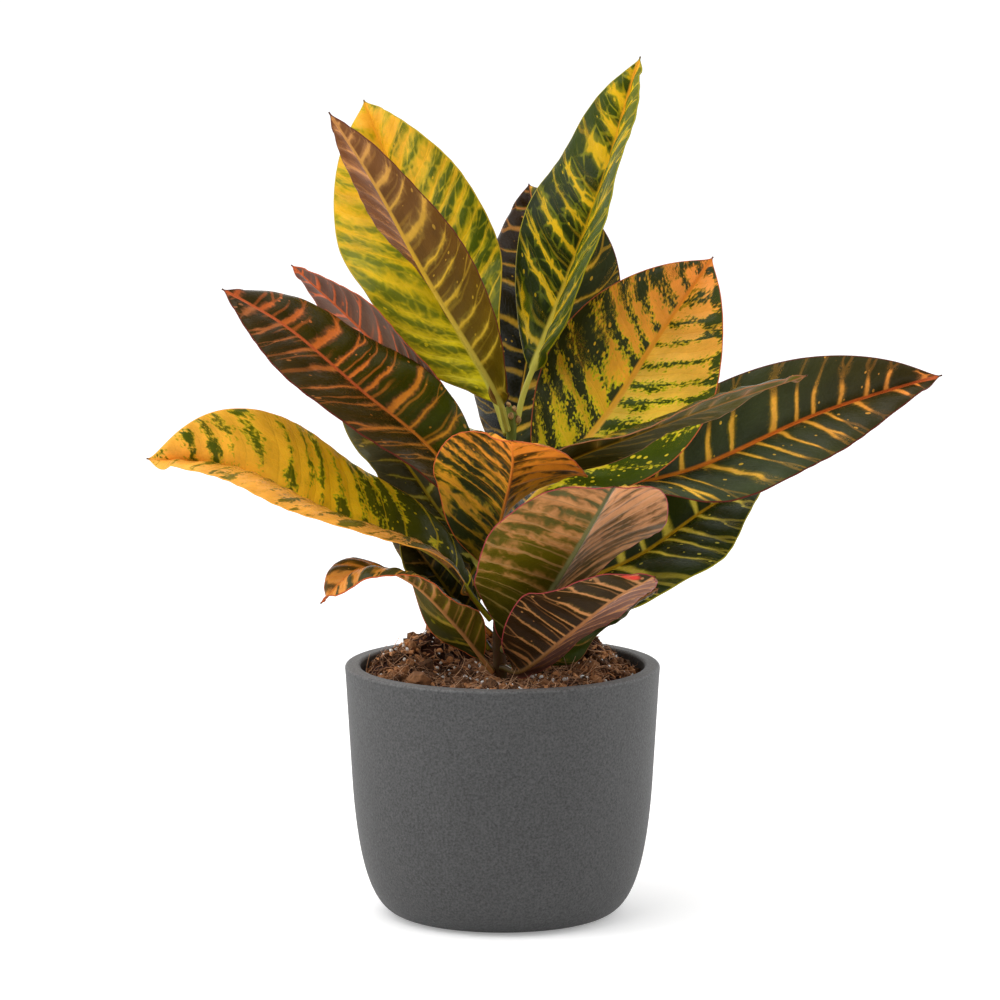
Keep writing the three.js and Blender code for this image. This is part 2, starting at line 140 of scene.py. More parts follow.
# One row for each leaf: height on the stem, four points of the midrib, widest half blade, shape of the
# outline, length of the bare stalk, how far the left and right half turn at four stations, the direction
# that the plane of the midrib is read from, and which side looks that way: the upper side (1) or the
# underside (-1)
LEAVES = {
    "leaf_gold_back": (109, [(-7, 15, 131), (-27, 33, 164.5), (-44, 51, 208.5), (-62.5, 65, 253)],
                       36.5, (0.86, 0.8), 16, (23, 35, 13, 5), (31, 17, 32, 43), TO_VIEWER, 1),
    "leaf_brown_front": (112, [(-4.5, -16, 133), (-32.5, -34, 181), (-55, -42, 223), (-74.5, -44, 254.5)],
                         26.5, (0.81, 0.94), 14, (-88, -82, -68, -51), (55, 34, 38, 39), TO_VIEWER, -1),
    "leaf_tall_green": (114, [(10.5, 8, 130), (26, 20, 167), (46, 34, 219), (61.5, 46, 273.5)],
                        30, (0.87, 0.94), 24, (-32, -15, -33, -20), (73, 83, 83, 76), TO_VIEWER, 1),
    "leaf_dark_back": (88, [(4.5, 16, 103), (11, 42, 138.5), (19, 66, 176), (12, 86, 213.5)],
                       36.5, (0.85, 0.7), 8, (-48, -48, -27, -27), (10, 9, 5, 27), TO_VIEWER, 1),
    "leaf_orange_right": (71, [(26, 8, 93), (47.5, 16, 118), (70, 26, 151), (94, 34, 185)],
                          38, (0.81, 0.9), 18, (-8, -10, -5, 0), (17, 8, 20, 27), TO_VIEWER, 1),
    "leaf_narrow_right": (78, [(25, -22, 99), (59, -46, 116), (97, -62, 132), (130, -70, 144)],
                          24, (0.85, 0.9), 16, (60, 75, 77, 68), (-50, -67, -70, -80), TO_VIEWER, -1),
    "leaf_long_right": (53, [(37.5, 14, 77.5), (89, 36, 90), (143, 52, 112), (199, 58, 129)],
                        31.5, (0.79, 0.85), 30, (-12, -16, 0, -7), (89, 60, 54, 62), TO_VIEWER, 1),
    "leaf_low_right": (34, [(28.5, 24, 37.5), (62, 46, 48), (92, 64, 66), (122, 76, 81.5)],
                       33.5, (0.86, 0.85), 16, (-20, -20, -20, -20), (48, 62, 56, 68), TO_VIEWER, 1),
    "leaf_front_orange": (33, [(-5, -16, 56), (0, -42, 80), (4, -72, 103), (4, -100, 120)],
                          34, (0.85, 0.65), 20, (60, 30, 0, 0), (15, 27, 22, 30), UP, 1),
    "leaf_front_pink": (14, [(10, -26, 26), (26, -50, 55), (38, -76, 80), (47, -104, 101)],
                        41, (0.7, 0.6), 12, (25, 15, 8, 12), (40, 15, 12, 15), UP, 1),
    "leaf_front_low": (6, [(9, -30, 9), (27, -52, 27), (47, -72, 47), (65, -88, 60)],
                       27.5, (0.85, 0.75), 14, (10, 5, 30, 40), (-60, -68, -62, -70), TO_VIEWER, -1),
    "leaf_red_left": (67, [(-32, -13, 104.5), (-61.5, -19, 130.5), (-93, -23, 158.5), (-122, -25, 176.5)],
                      30.5, (0.79, 0.9), 18, (67, 71, 56, 44), (-19, -41, -56, -52), TO_VIEWER, 1),
    "leaf_under_right": (5, [(14, -1, 5.5), (32, -2, 18), (52, -5, 31), (69, -8, 42)],
                         20, (0.85, 0.9), 14, (12, 12, 16, 20), (-42, -67, -75, -73), TO_VIEWER, -1),
    "leaf_purple_left": (86, [(-16.5, 11, 107.5), (-40, 17, 130.5), (-68, 23, 158.5), (-94, 27, 182)],
                         22.5, (0.86, 0.84), 14, (-55, -60, -60, -60), (66, 56, 54, 50), TO_VIEWER, -1),
    "leaf_grey_left": (40, [(-14, 10, 54), (-29.5, 18, 74), (-47, 26, 97), (-75, 32, 123)],
                       20, (0.79, 0.96), 14, (60, 47, 50, 30), (5, 5, 5, 5), TO_VIEWER, 1),
    "leaf_yellow_left": (27, [(-31, -10, 57.5), (-73.5, -18, 75.5), (-114, -26, 97), (-155, -32, 103)],
                         35.5, (0.9, 0.8), 14, (100, 94, 87, 84), (-56, -51, -43, -5), TO_VIEWER, 1),
    "leaf_shade_left": (33, [(-17, 10, 42), (-28, 15, 53), (-40, 21, 67.5), (-51, 27, 80)],
                        16, (0.85, 0.88), 14, (-15, -15, -15, -15), (-50, -50, -50, -50), TO_VIEWER, 1),
    "leaf_twisted_low": (4, [(-20.5, -16, 26.5), (-40.5, -30, 48.5), (-61.5, -42, 56), (-79, -50, 42)],
                         19.5, (0.86, 0.9), 8, (-28, -76, -76, -143), (20, 59, 80, 122), TO_VIEWER, -1),
    "leaf_shade_low": (13, [(-14, 2, 25), (-25, 2, 40), (-37, 6, 56), (-46, 10, 68)],
                       13, (0.85, 0.9), 10, (40, 40, 40, 40), (-10, -10, -10, -10), TO_VIEWER, 1),
    "leaf_shade_middle": (19, [(-13, 10, 27), (-18, 22, 40), (-23, 34, 55), (-32, 48, 77)],
                          16, (0.85, 0.9), 10, (-20, -20, -20, -20), (30, 30, 30, 30), TO_VIEWER, 1),
    "leaf_back_left": (71, [(-10, 30, 78), (-26, 56, 90), (-43, 84, 98), (-59, 108, 106)],
                       25, (0.85, 0.9), 16, (20, 20, 20, 20), (20, 20, 20, 20), UP, 1),
    "leaf_back_right": (78, [(15, 24, 84), (34, 52, 100), (52, 80, 117), (65, 104, 133)],
                        25, (1.2, 0.9), 16, (20, 20, 20, 20), (20, 20, 20, 20), UP, 1),
    "leaf_back_middle": (53, [(2, 30, 56), (9, 62, 66), (17, 94, 72), (25, 122, 77)],
                         23, (0.85, 0.9), 16, (20, 20, 20, 20), (20, 20, 20, 20), UP, 1),
    "leaf_back_low": (30, [(-7, 34, 34), (-10, 62, 41), (-13, 88, 47), (-16, 110, 50)],
                      24, (0.85, 0.9), 16, (20, 20, 20, 20), (20, 20, 20, 20), UP, 1),
}

# The colours that a croton mixes in its leaves, as sRGB hex
PIGMENTS = {
    "forest": "212B02", "coal": "17180B", "soot": "2A1A0A", "sun": "F0C040", "peach": "F0A640",
    "flame": "F08C3C", "peat": "363203", "night": "262B0E", "bottle": "2D360F", "moss": "404D09",
    "leaf": "65690D", "lime": "948A11", "pine": "363A1A", "slate": "3A4125", "ash": "504E33",
    "drab": "584D05", "olive": "6F6210", "khaki": "755B1B", "umber": "36290A", "cocoa": "5C3E0C",
    "bark": "513F16", "rust": "90530C", "russet": "704424", "sienna": "935F38", "copper": "B66B26",
    "ochre": "C69B28", "citrine": "B69A21", "tan": "BB7F49", "rose": "B77F50", "blush": "CB8D5E",
    "salmon": "C06A44", "gold": "D0A712", "amber": "E6A22C", "orange": "E17E2A", "ember": "BC592D",
    "scarlet": "C8382A", "wine": "5C2216", "crimson": "9A3A3C", "plum": "69483C", "mauve": "966B58",
    "lemon": "C6BA43", "straw": "B6B14B", "dust": "5A4230", "sage": "7C7A4A", "acid": "D0C41A",
    "honey": "FCC420", "primrose": "F0E058", "brass": "CC8C24",
}

# How each leaf is coloured on the side that the viewer sees. Colours run base,
# middle, tip, or are one for all; a slash gives the left half its own, which stand partly for that half's own
# pigment and partly for painted sheen and shade where it meets the light at another angle. ground is the blade
# between the veins, stain the band along each vein and fringe its border.
#   spacing       distance of the side veins in millimetres
#   slope         how far a vein leans to the tip, as tip-ward run over outward run, right and left half
#   wide, left    half width of the stain at base, middle and tip as a share of the way to the next vein; left
#                 is for the left half where it differs
#   taper         how much of that width a vein loses from the rib to the margin
#   ragged, speckle, soft   how broken, how dotted and how blurred the edge of the stain is
#   glow          how far the fringe reaches beyond the stain
#   dots          share of loose dots on the ground
#   net, between  strength of the coarse net of stained veinlets, and of the thin veins between the others
#   ends, fork    how much the veins fade before the margin, and how far each one splits there
#   patchy        how much the width of the stain rises and falls over patches of 1 to 2 cm
#   loose         by how much the stain of the left half thins out near the midrib, away from the tip
#   spot          one blot: its place along the blade and across the half, which half, its radius, its colour
#   line, band    thickness of a side vein, and half width of the coloured midrib at base, middle, tip, in mm
PLAIN_LOOK = dict(
    seen="upper", spacing=12, slope=0.4, left=None, taper=0.6, ragged=0.05, speckle=0.06, soft=0.12, glow=0.3,
    dots=0.3, net=0.1, between=0.25, ends=0.6, fork=0.3, line=0.7, patchy=0.02, loose=0, spot=None,
    band=(0.9, 0.75, 0.4))
LOOKS = {
    "leaf_gold_back": dict(
        ground="leaf moss leaf / leaf leaf lime", stain="gold gold amber / acid gold amber",
        fringe="leaf lime citrine / lime lime gold", rib="straw gold amber", rim="citrine", spacing=11,
        slope=(0.45, 0.5), wide=(-0.5, 0.0, 0.8), left=(0.3, 0.25, 0.7), taper=0.5, ragged=0.3, soft=0.5,
        glow=0.8, net=0.55, ends=0.2, fork=0.1, patchy=0.3, band=(1.3, 1.2, 0.9)),
    "leaf_brown_front": dict(
        seen="under", ground="drab cocoa russet / cocoa russet russet",
        stain="citrine ochre tan / ochre copper tan", fringe="olive khaki sienna / khaki sienna sienna",
        rib="straw ochre tan", rim="wine", slope=(0.5, 0.7), wide=(0.06, 0.06, 0.07), left=0.03, taper=0.5,
        ragged=0.04, soft=0.2, glow=0.5, net=0.25, between=0.2, line=0.95, patchy=0.03, band=(1.4, 1.2, 0.7)),
    "leaf_tall_green": dict(
        ground="moss moss leaf / forest forest moss", stain="gold", fringe="leaf lime lime / moss leaf lime",
        rib="straw gold amber", rim="lime", spacing=14, slope=(0.75, 0.65), wide=(0.04, 0.1, 0.18),
        left=(0.0, 0.08, 0.18), taper=1.0, ragged=0.08, glow=0.5, net=0.6, between=0.35, fork=0.2, line=0.8,
        patchy=0.06, band=(1.8, 1.8, 1.0)),
    "leaf_dark_back": dict(
        ground="pine slate slate / coal coal soot", stain="sun / ochre ochre copper",
        fringe="moss olive olive / moss drab drab", rib="ochre ochre copper / umber umber dust", rim="wine",
        wide=(0.16, 0.2, 0.14), left=(0.04, 0.06, 0.04), ragged=0.06, net=0, between=0, ends=0.25, fork=0.5,
        line=1.2, band=(0.5, 0.5, 0.4)),
    "leaf_orange_right": dict(
        ground="moss moss pine / pine", stain="acid sun flame / acid amber flame", fringe="acid acid copper",
        rib="sun amber orange", rim="ember", slope=(0.55, 0.5), wide=(0.3, 0.38, 0.8), left=(0.3, 0.34, 0.7),
        taper=0.1, ragged=0.22, speckle=0.34, soft=0.04, glow=0.4, dots=1.0, net=0.2, between=0, ends=0.7,
        fork=0.1, line=0.3, patchy=0.25, band=(1.5, 1.3, 0.8), loose=0.45),
    "leaf_narrow_right": dict(
        seen="under", ground="peat peat drab", stain="khaki khaki sienna", fringe="drab drab cocoa",
        rib="citrine khaki sienna", rim="sienna", spacing=13, slope=0.9, wide=0.04, soft=0.2, between=0,
        line=0.35, band=(0.8, 0.7, 0.4)),
    "leaf_long_right": dict(
        ground="slate slate umber", stain="sun sun flame", fringe="olive olive russet",
        rib="amber orange ember", rim="wine", spacing=13, slope=(0.42, 0.36), wide=(0.09, 0.09, 0.1),
        left=0.1, taper=0.3, soft=0.06, net=0, between=0, ends=0.8, line=1.3, band=(1.5, 1.3, 0.9)),
    "leaf_low_right": dict(
        ground="bottle", stain="primrose", fringe="leaf", rib="ochre gold ochre", rim="lime", spacing=13,
        slope=(0.2, 0.4), wide=0.1, taper=0.3, soft=0.06, net=0, between=0, ends=0.5, fork=0.35, line=1.5,
        band=(1.2, 1.1, 0.6)),
    "leaf_front_orange": dict(
        seen="under", ground="night night umber / night umber umber",
        stain="olive brass orange / khaki brass orange", fringe="drab olive rust / olive khaki rust",
        rib="khaki copper orange", rim="ember", spacing=9, slope=(0.5, 0.1), wide=(0.0, 0.2, 0.5),
        left=(0.1, 0.4, 0.7), taper=0, ragged=0.4, speckle=0.1, soft=0.3, glow=0.6, net=0.3, between=0.5,
        ends=0, fork=0.05, patchy=0.7),
    "leaf_front_pink": dict(
        seen="under", ground="peat drab ash / umber bark cocoa", stain="olive tan rose / sienna rose blush",
        fringe="peat khaki sienna / umber cocoa sienna", rib="sage sage ash", rim="crimson", spacing=9.5,
        slope=(0.05, 0.8), wide=(-1.0, 0.1, 0.6), left=(-0.3, 0.4, 0.8), taper=0.2, ragged=0.5, speckle=0.05,
        soft=0.6, glow=0.9, dots=0.1, between=0.5, ends=0, fork=0.05, line=0.6, patchy=0.8,
        band=(1.7, 1.5, 1.0)),
    "leaf_front_low": dict(
        seen="under", ground="plum plum mauve / soot soot umber", stain="sienna tan blush / sienna tan rose",
        fringe="plum mauve mauve / umber umber bark", rib="bark sienna rose", rim="crimson", spacing=10,
        slope=(0.6, -0.35), wide=0.07, left=0.11, taper=0.4, glow=0.25, between=0.4, ends=0.3, fork=0.4,
        line=0.8, band=(1.1, 0.9, 0.6), spot=(0.92, 0.6, -1, 3.6, "scarlet")),
    "leaf_red_left": dict(
        ground="moss peat umber / umber", stain="citrine orange ember / khaki copper sienna",
        fringe="khaki russet russet", rib="amber ember ember", rim="wine", slope=(-0.3, 0.6),
        wide=(0.12, 0.13, 0.14), left=(0.07, 0.08, 0.08), taper=0.4, ragged=0.04, between=0.5, ends=0.5,
        line=1.0, band=(1.2, 1.0, 0.6)),
    "leaf_under_right": dict(
        seen="under", ground="moss bottle umber", stain="tan", fringe="olive olive cocoa",
        rib="olive khaki sienna", rim="sienna", spacing=8, wide=0.02, line=0.3),
    "leaf_purple_left": dict(
        seen="under", ground="umber dust plum", stain="khaki ember ember", fringe="umber dust dust",
        rib="russet ember ember", rim="ember", spacing=9, slope=0.6, wide=(0.08, 0.11, 0.11),
        band=(1.1, 1.0, 0.6)),
    "leaf_grey_left": dict(
        ground="bottle ash ash", stain="lemon straw tan", fringe="moss olive olive",
        rib="straw citrine khaki", rim="olive", wide=0.08, net=0, between=0, ends=0.8, band=(1.2, 1.0, 0.6)),
    "leaf_yellow_left": dict(
        ground="night leaf moss / ash olive olive", stain="acid honey peach / tan peach peach",
        fringe="acid acid ochre / olive khaki ochre", rib="lime gold peach", rim="peach", spacing=10,
        slope=(0.3, 0.45), wide=(-1.4, 0.72, 0.72), left=(0.2, 0.72, 0.85), taper=0.1, ragged=0.45,
        speckle=0.3, soft=0.06, glow=0.45, dots=0.7, net=0.2, between=0.1, ends=0, fork=0.1, line=0.4,
        patchy=0.6),
    "leaf_shade_left": dict(
        ground="night umber umber", stain="tan", fringe="umber cocoa cocoa", rib="olive khaki khaki",
        rim="olive", spacing=9, wide=0.04),
    "leaf_twisted_low": dict(
        seen="under", ground="drab bark ash / night drab russet",
        stain="khaki tan salmon / lime olive salmon", fringe="olive olive ember / olive moss ember",
        rib="tan tan ember", rim="ember", spacing=9, slope=0.7, wide=(0.08, 0.1, 0.55), left=(0.1, 0.1, 0.6),
        ragged=0.15, soft=0.1, between=0.4, ends=0.3, fork=0.2, line=0.8),
    "leaf_shade_low": dict(
        ground="night night umber", stain="olive olive rose", fringe="umber umber dust",
        rib="olive olive rose", rim="olive", spacing=8, wide=0.04, line=0.4),
    "leaf_shade_middle": dict(
        ground="night pine pine", stain="lime lime gold", fringe="moss moss leaf", rib="copper ochre citrine",
        rim="moss", wide=0.08, net=0),
    "leaf_back_left": dict(
        ground="bottle moss leaf", stain="gold gold amber", fringe="lime", rib="gold gold amber", rim="lime",
        spacing=11, slope=0.5, wide=(0.3, 0.45, 0.7), ragged=0.4, soft=0.25, glow=0.6, net=0.7, ends=0.2,
        fork=0.1, patchy=0.4),
    "leaf_back_right": dict(
        ground="bottle night moss", stain="gold gold orange", fringe="lime lime ochre",
        rib="orange orange ember", rim="ember", spacing=11, slope=0.5, wide=(0.3, 0.4, 0.75), ragged=0.5,
        speckle=0.3, dots=1.0, ends=0.2, fork=0.1, line=0.4, patchy=0.4, band=(1.5, 1.3, 0.8)),
    "leaf_back_middle": dict(
        ground="bottle night slate", stain="lemon ochre amber", fringe="leaf leaf olive",
        rib="ochre orange orange", rim="wine", spacing=11, wide=(0.1, 0.1, 0.14), fork=0.4),
    "leaf_back_low": dict(
        ground="bottle umber wine", stain="ochre copper salmon", fringe="olive cocoa russet",
        rib="amber orange ember", rim="wine", spacing=9, wide=0.12, fork=0.4, line=0.6),
}

# The values of a leaf's vertices that its skin reads, as vectors of three and as colours, and the colour of
# the dry tip
LEAF_VALUES = ("vein", "reach", "pattern", "finish", "edge", "extras")
LEAF_COLOURS = ("ground", "fringe", "stain", "rib", "rim")
DRY_TIP = "4A2A14"

# How far the side that isn't seen turns to other pigments, where the upper side or the underside is seen
UNSEEN_TINTS = {
    "upper": (("ground", "dust", 0.45), ("fringe", "dust", 0.5), ("stain", "rose", 0.5),
              ("rib", "straw", 0.4)),
    "under": (("ground", "bottle", 0.5), ("fringe", "lime", 0.3), ("stain", "amber", 0.45),
              ("rib", "amber", 0.3)),
}


def linear(hex_colour):
    """Linear red, green and blue of an sRGB hex colour."""
    srgb = np.array([int(hex_colour[i:i + 2], 16) for i in (0, 2, 4)]) / 255
    return np.where(srgb <= 0.04045, srgb / 12.92, ((srgb + 0.055) / 1.055) ** 2.4)


def rgba(hex_colour):
    """The same with full alpha, as a colour socket takes it."""
    return (*linear(hex_colour), 1.0)


def unit(vectors):
    """Vectors scaled to length 1 along their last axis."""
    return vectors / np.linalg.norm(vectors, axis=-1, keepdims=True)


def ease(value, start, end):
    """0 before start, 1 after end, and 3 t squared less 2 t cubed between them."""
    t = np.clip((value - start) / (end - start), 0, 1)
    return t * t * (3 - 2 * t)


def spline(points, at):
    """The smooth curve through points, at a place counted in points from the first: between each two a cubic
    whose slope at a point is half the step from the point before it to the point after. The ends are
    mirrored."""
    p = np.asarray(points, float)
    p = np.concatenate([[2 * p[0] - p[1]], p, [2 * p[-1] - p[-2]]])
    at = np.asarray(at, float)
    first = np.clip(at.astype(int), 0, len(p) - 4)
    t = (at - first).reshape(at.shape + (1,) * (p.ndim - 1))
    a, b, c, d = p[first], p[first + 1], p[first + 2], p[first + 3]
    return 0.5 * (2 * b + (c - a) * t + (2 * a - 5 * b + 4 * c - d) * t ** 2 + (3 * b - a - 3 * c + d) * t ** 3)


def along_curve(points, places):
    """Points and directions of that curve at shares of its length, and the length: the curve is measured in
    800 chords, and a share of the length is looked up among their sums."""
    last = len(points) - 1
    steps = np.linspace(0, last, 801)
    chords = np.linalg.norm(np.diff(spline(points, steps), axis=0), axis=1)
    run = np.concatenate([[0], np.cumsum(chords)])
    at = np.interp(np.asarray(places) * run[-1], run, steps)
    ahead = spline(points, np.minimum(at + 0.002, last)) - spline(points, np.maximum(at - 0.002, 0))
    return spline(points, at), unit(ahead), run[-1]


def ripples(points, size, seed, count=7):
    """An even, random-looking field from -1 to 1: the mean of sine waves of about the given length, each in a
    direction of its own, stretched so that it fills the range."""
    random = np.random.default_rng(seed)
    points = np.asarray(points, float)
    ways = unit(random.normal(size=(count, points.shape[-1])))
    waves = ways * (2 * np.pi / (size * random.uniform(0.7, 1.5, (count, 1))))
    return np.clip(np.sin(points @ waves.T + random.uniform(0, 2 * np.pi, count)).mean(-1) * 1.8, -1, 1)


def piece(name, points, faces, material, replaced=None, values=None, smooth=True):
    """A mesh piece at the origin from points in millimetres and arrays of faces. values are vertex
    attributes: one number each, three for a vector, or four for a linear colour."""
    mesh = bpy.data.meshes.new(name)
    mesh.vertices.add(len(points))
    mesh.vertices.foreach_set("co", (np.asarray(points) * MM).astype(np.float32).ravel())
    corners = np.concatenate([f.ravel() for f in faces])
    sizes = np.concatenate([np.full(len(f), f.shape[1]) for f in faces])
    mesh.loops.add(len(corners))
    mesh.loops.foreach_set("vertex_index", corners.astype(np.int32))
    mesh.polygons.add(len(sizes))
    mesh.polygons.foreach_set("loop_start", (np.cumsum(sizes) - sizes).astype(np.int32))
    mesh.polygons.foreach_set("use_smooth", np.full(len(sizes), smooth))
    mesh.update(calc_edges=True)
    kinds = {1: ("FLOAT", "value"), 3: ("FLOAT_VECTOR", "vector"), 4: ("FLOAT_COLOR", "color")}
    for key, value in (values or {}).items():
        value = np.asarray(value, np.float32).reshape(len(points), -1)
        kind, field = kinds[value.shape[1]]
        mesh.attributes.new(key, kind, "POINT").data.foreach_set(field, value.ravel())
    if mesh.validate():
        raise RuntimeError(f"{name} has faces that are not sound")
    made = bpy.data.objects.new(name, mesh)
    bpy.context.scene.collection.objects.link(made)
    mesh.materials.append(material)
    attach(made, "root")
    if replaced:
        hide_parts(replaced)


def grid_faces(rows, columns, closed=False):
    """Squares between the points of a grid that is stored row by row; closed joins the last column to the
    first. Rows that rise and columns that run counterclockwise from above make the faces look outwards."""
    r, c = np.meshgrid(np.arange(rows - 1), np.arange(columns if closed else columns - 1), indexing="ij")
    here = (r * columns + c).ravel()
    beside = (r * columns + (c + 1) % columns).ravel()
    return np.stack([here, beside, beside + columns, here + columns], axis=1)


def ring_skin(rings):
    """Points and faces of a closed skin over a stack of rings, each counterclockwise from above, with a point
    in the middle of the first and the last ring to close the ends."""
    count, sides = rings.shape[:2]
    points = np.concatenate([rings.reshape(-1, 3), rings[:1].mean(1), rings[-1:].mean(1)])
    side = np.arange(sides)
    beside = (side + 1) % sides
    top = (count - 1) * sides
    low = np.stack([np.full(sides, count * sides), beside, side], axis=1)
    high = np.stack([np.full(sides, count * sides + 1), top + side, top + beside], axis=1)
    return points, [grid_faces(count, sides, closed=True), low, high]


def turned(profile, sides):
    """Rings made by turning a line of (radius, height) about the upright axis."""
    angle = 2 * np.pi * np.arange(sides) / sides
    radius, height = profile[:, :1], profile[:, 1:]
    return np.stack([radius * np.cos(angle), radius * np.sin(angle), height + 0 * angle], axis=-1)


def bend(start, near, far, end, count):
    """Points on a cubic whose ends and two handles are given: the binomial mix of the four."""
    t = np.linspace(0, 1, count)[:, None]
    a, b, c, d = (np.asarray(p, float) for p in (start, near, far, end))
    return a * (1 - t) ** 3 + 3 * b * t * (1 - t) ** 2 + 3 * c * t ** 2 * (1 - t) + d * t ** 3


def wall_radius(height):
    """Outer radius of the pot's straight wall at a height."""
    return BELLY_RADIUS + (RIM_RADIUS - BELLY_RADIUS) * (height - BELLY_HEIGHT) / (POT_HEIGHT - BELLY_HEIGHT)


def soil_height(x, y):
    """Height over the soil level: a bank round the stem, higher at the back, less a drop at the wall, with
    crossed waves for clumps."""
    distance = np.hypot(x, y) + 1e-9
    bank = SOIL_BANK * (1 + BACK_SHARE * y / distance) * np.exp(-((distance - BANK_RADIUS) / BANK_SPREAD) ** 2)
    drop = WALL_DROP * ease(distance, BANK_RADIUS, RIM_RADIUS - WALL)
    clumps = np.sin(x / 5.3 + 1) * np.cos(y / 4.7) + 0.6 * np.sin((x + y) / 6.1 + 2)
    return bank - drop + CLUMP_HEIGHT * clumps * ease(distance, 20, 40)


def heaped(x, y):
    """Height that the heaps add at a place on the soil: a bell curve for each."""
    return sum(tall * np.exp(-((x - at_x) ** 2 + (y - at_y) ** 2) / (2 * spread ** 2))
               for at_x, at_y, spread, tall in HEAPS)


def soil_top(x, y):
    """Height of the soil's top at a place."""
    return SOIL_LEVEL + soil_height(x, y) + heaped(x, y)


def stem_at(heights):
    """Centre and radius of the stem at heights above the soil level."""
    line = spline(STEM_AXIS, np.linspace(0, len(STEM_AXIS) - 1, 900))
    heights = np.atleast_1d(np.asarray(heights, float))
    centre = np.stack([np.interp(heights, line[:, 2], line[:, axis]) for axis in range(3)], axis=-1)
    share = np.clip(heights / STEM_AXIS[-1][2], 0, 1)
    return centre, STEM_FOOT_RADIUS + (STEM_TOP_RADIUS - STEM_FOOT_RADIUS) * share


# Materials

# The kinds of node used here: the type, and the settings that set the kind apart
KINDS = {operation: ("Math", {"operation": operation}) for operation in (
    "ADD", "SUBTRACT", "MULTIPLY", "DIVIDE", "MULTIPLY_ADD", "ABSOLUTE", "ROUND", "FLOOR", "FRACT",
    "PINGPONG", "LESS_THAN")}
KINDS |= {
    "range": ("MapRange", {}),
    "smooth range": ("MapRange", {"interpolation_type": "SMOOTHSTEP"}),
    "open range": ("MapRange", {"clamp": False}),
    "mix": ("Mix", {"data_type": "RGBA"}),
    "stretch": ("VectorMath", {"operation": "MULTIPLY"}),
    "cell edges": ("TexVoronoi", {"feature": "DISTANCE_TO_EDGE"}),
}
KINDS |= {kind: (node_type, {}) for kind, node_type in {
    "cells": "TexVoronoi", "noise": "TexNoise", "random": "TexWhiteNoise", "split": "SeparateXYZ",
    "join": "CombineXYZ", "attribute": "Attribute", "place": "TexCoord", "shade": "HueSaturation",
    "ramp": "ValToRGB", "bump": "Bump"}.items()}


def fill(node, inputs):
    """Fills a node's inputs with values, sockets or other nodes' first outputs."""
    for key, value in inputs.items():
        if isinstance(value, bpy.types.Node):
            value = value.outputs[0]
        if isinstance(value, bpy.types.NodeSocket):
            node.id_data.links.new(value, node.inputs[key])
        else:
            node.inputs[key].default_value = value


def add(tree, kind, *inputs, **settings):
    """Adds a node of one of the KINDS. inputs fill its sockets in order, or by number from a dict. Settings
    that start with a capital fill the sockets of that name, and the others are properties."""
    node_type, own = KINDS[kind]
    made = tree.nodes.new("ShaderNode" + node_type)
    sockets = {}
    for number, value in enumerate(inputs):
        sockets |= value if isinstance(value, dict) else {number: value}
    for name, value in (own | settings).items():
        if name[0].isupper():
            sockets[name] = value
        else:
            setattr(made, name, value)
    fill(made, sockets)
    return made


def new_material(name, specular, **surface):
    """An empty node material with the given values set on the shader's own sockets, the shader, and add() for
    it."""
    material = bpy.data.materials.new(name)
    material.use_nodes = True
    shader = next(n for n in material.node_tree.nodes if n.type == "BSDF_PRINCIPLED")
    fill(shader, {"Specular IOR Level": specular} | surface)
    return material, shader, partial(add, material.node_tree)


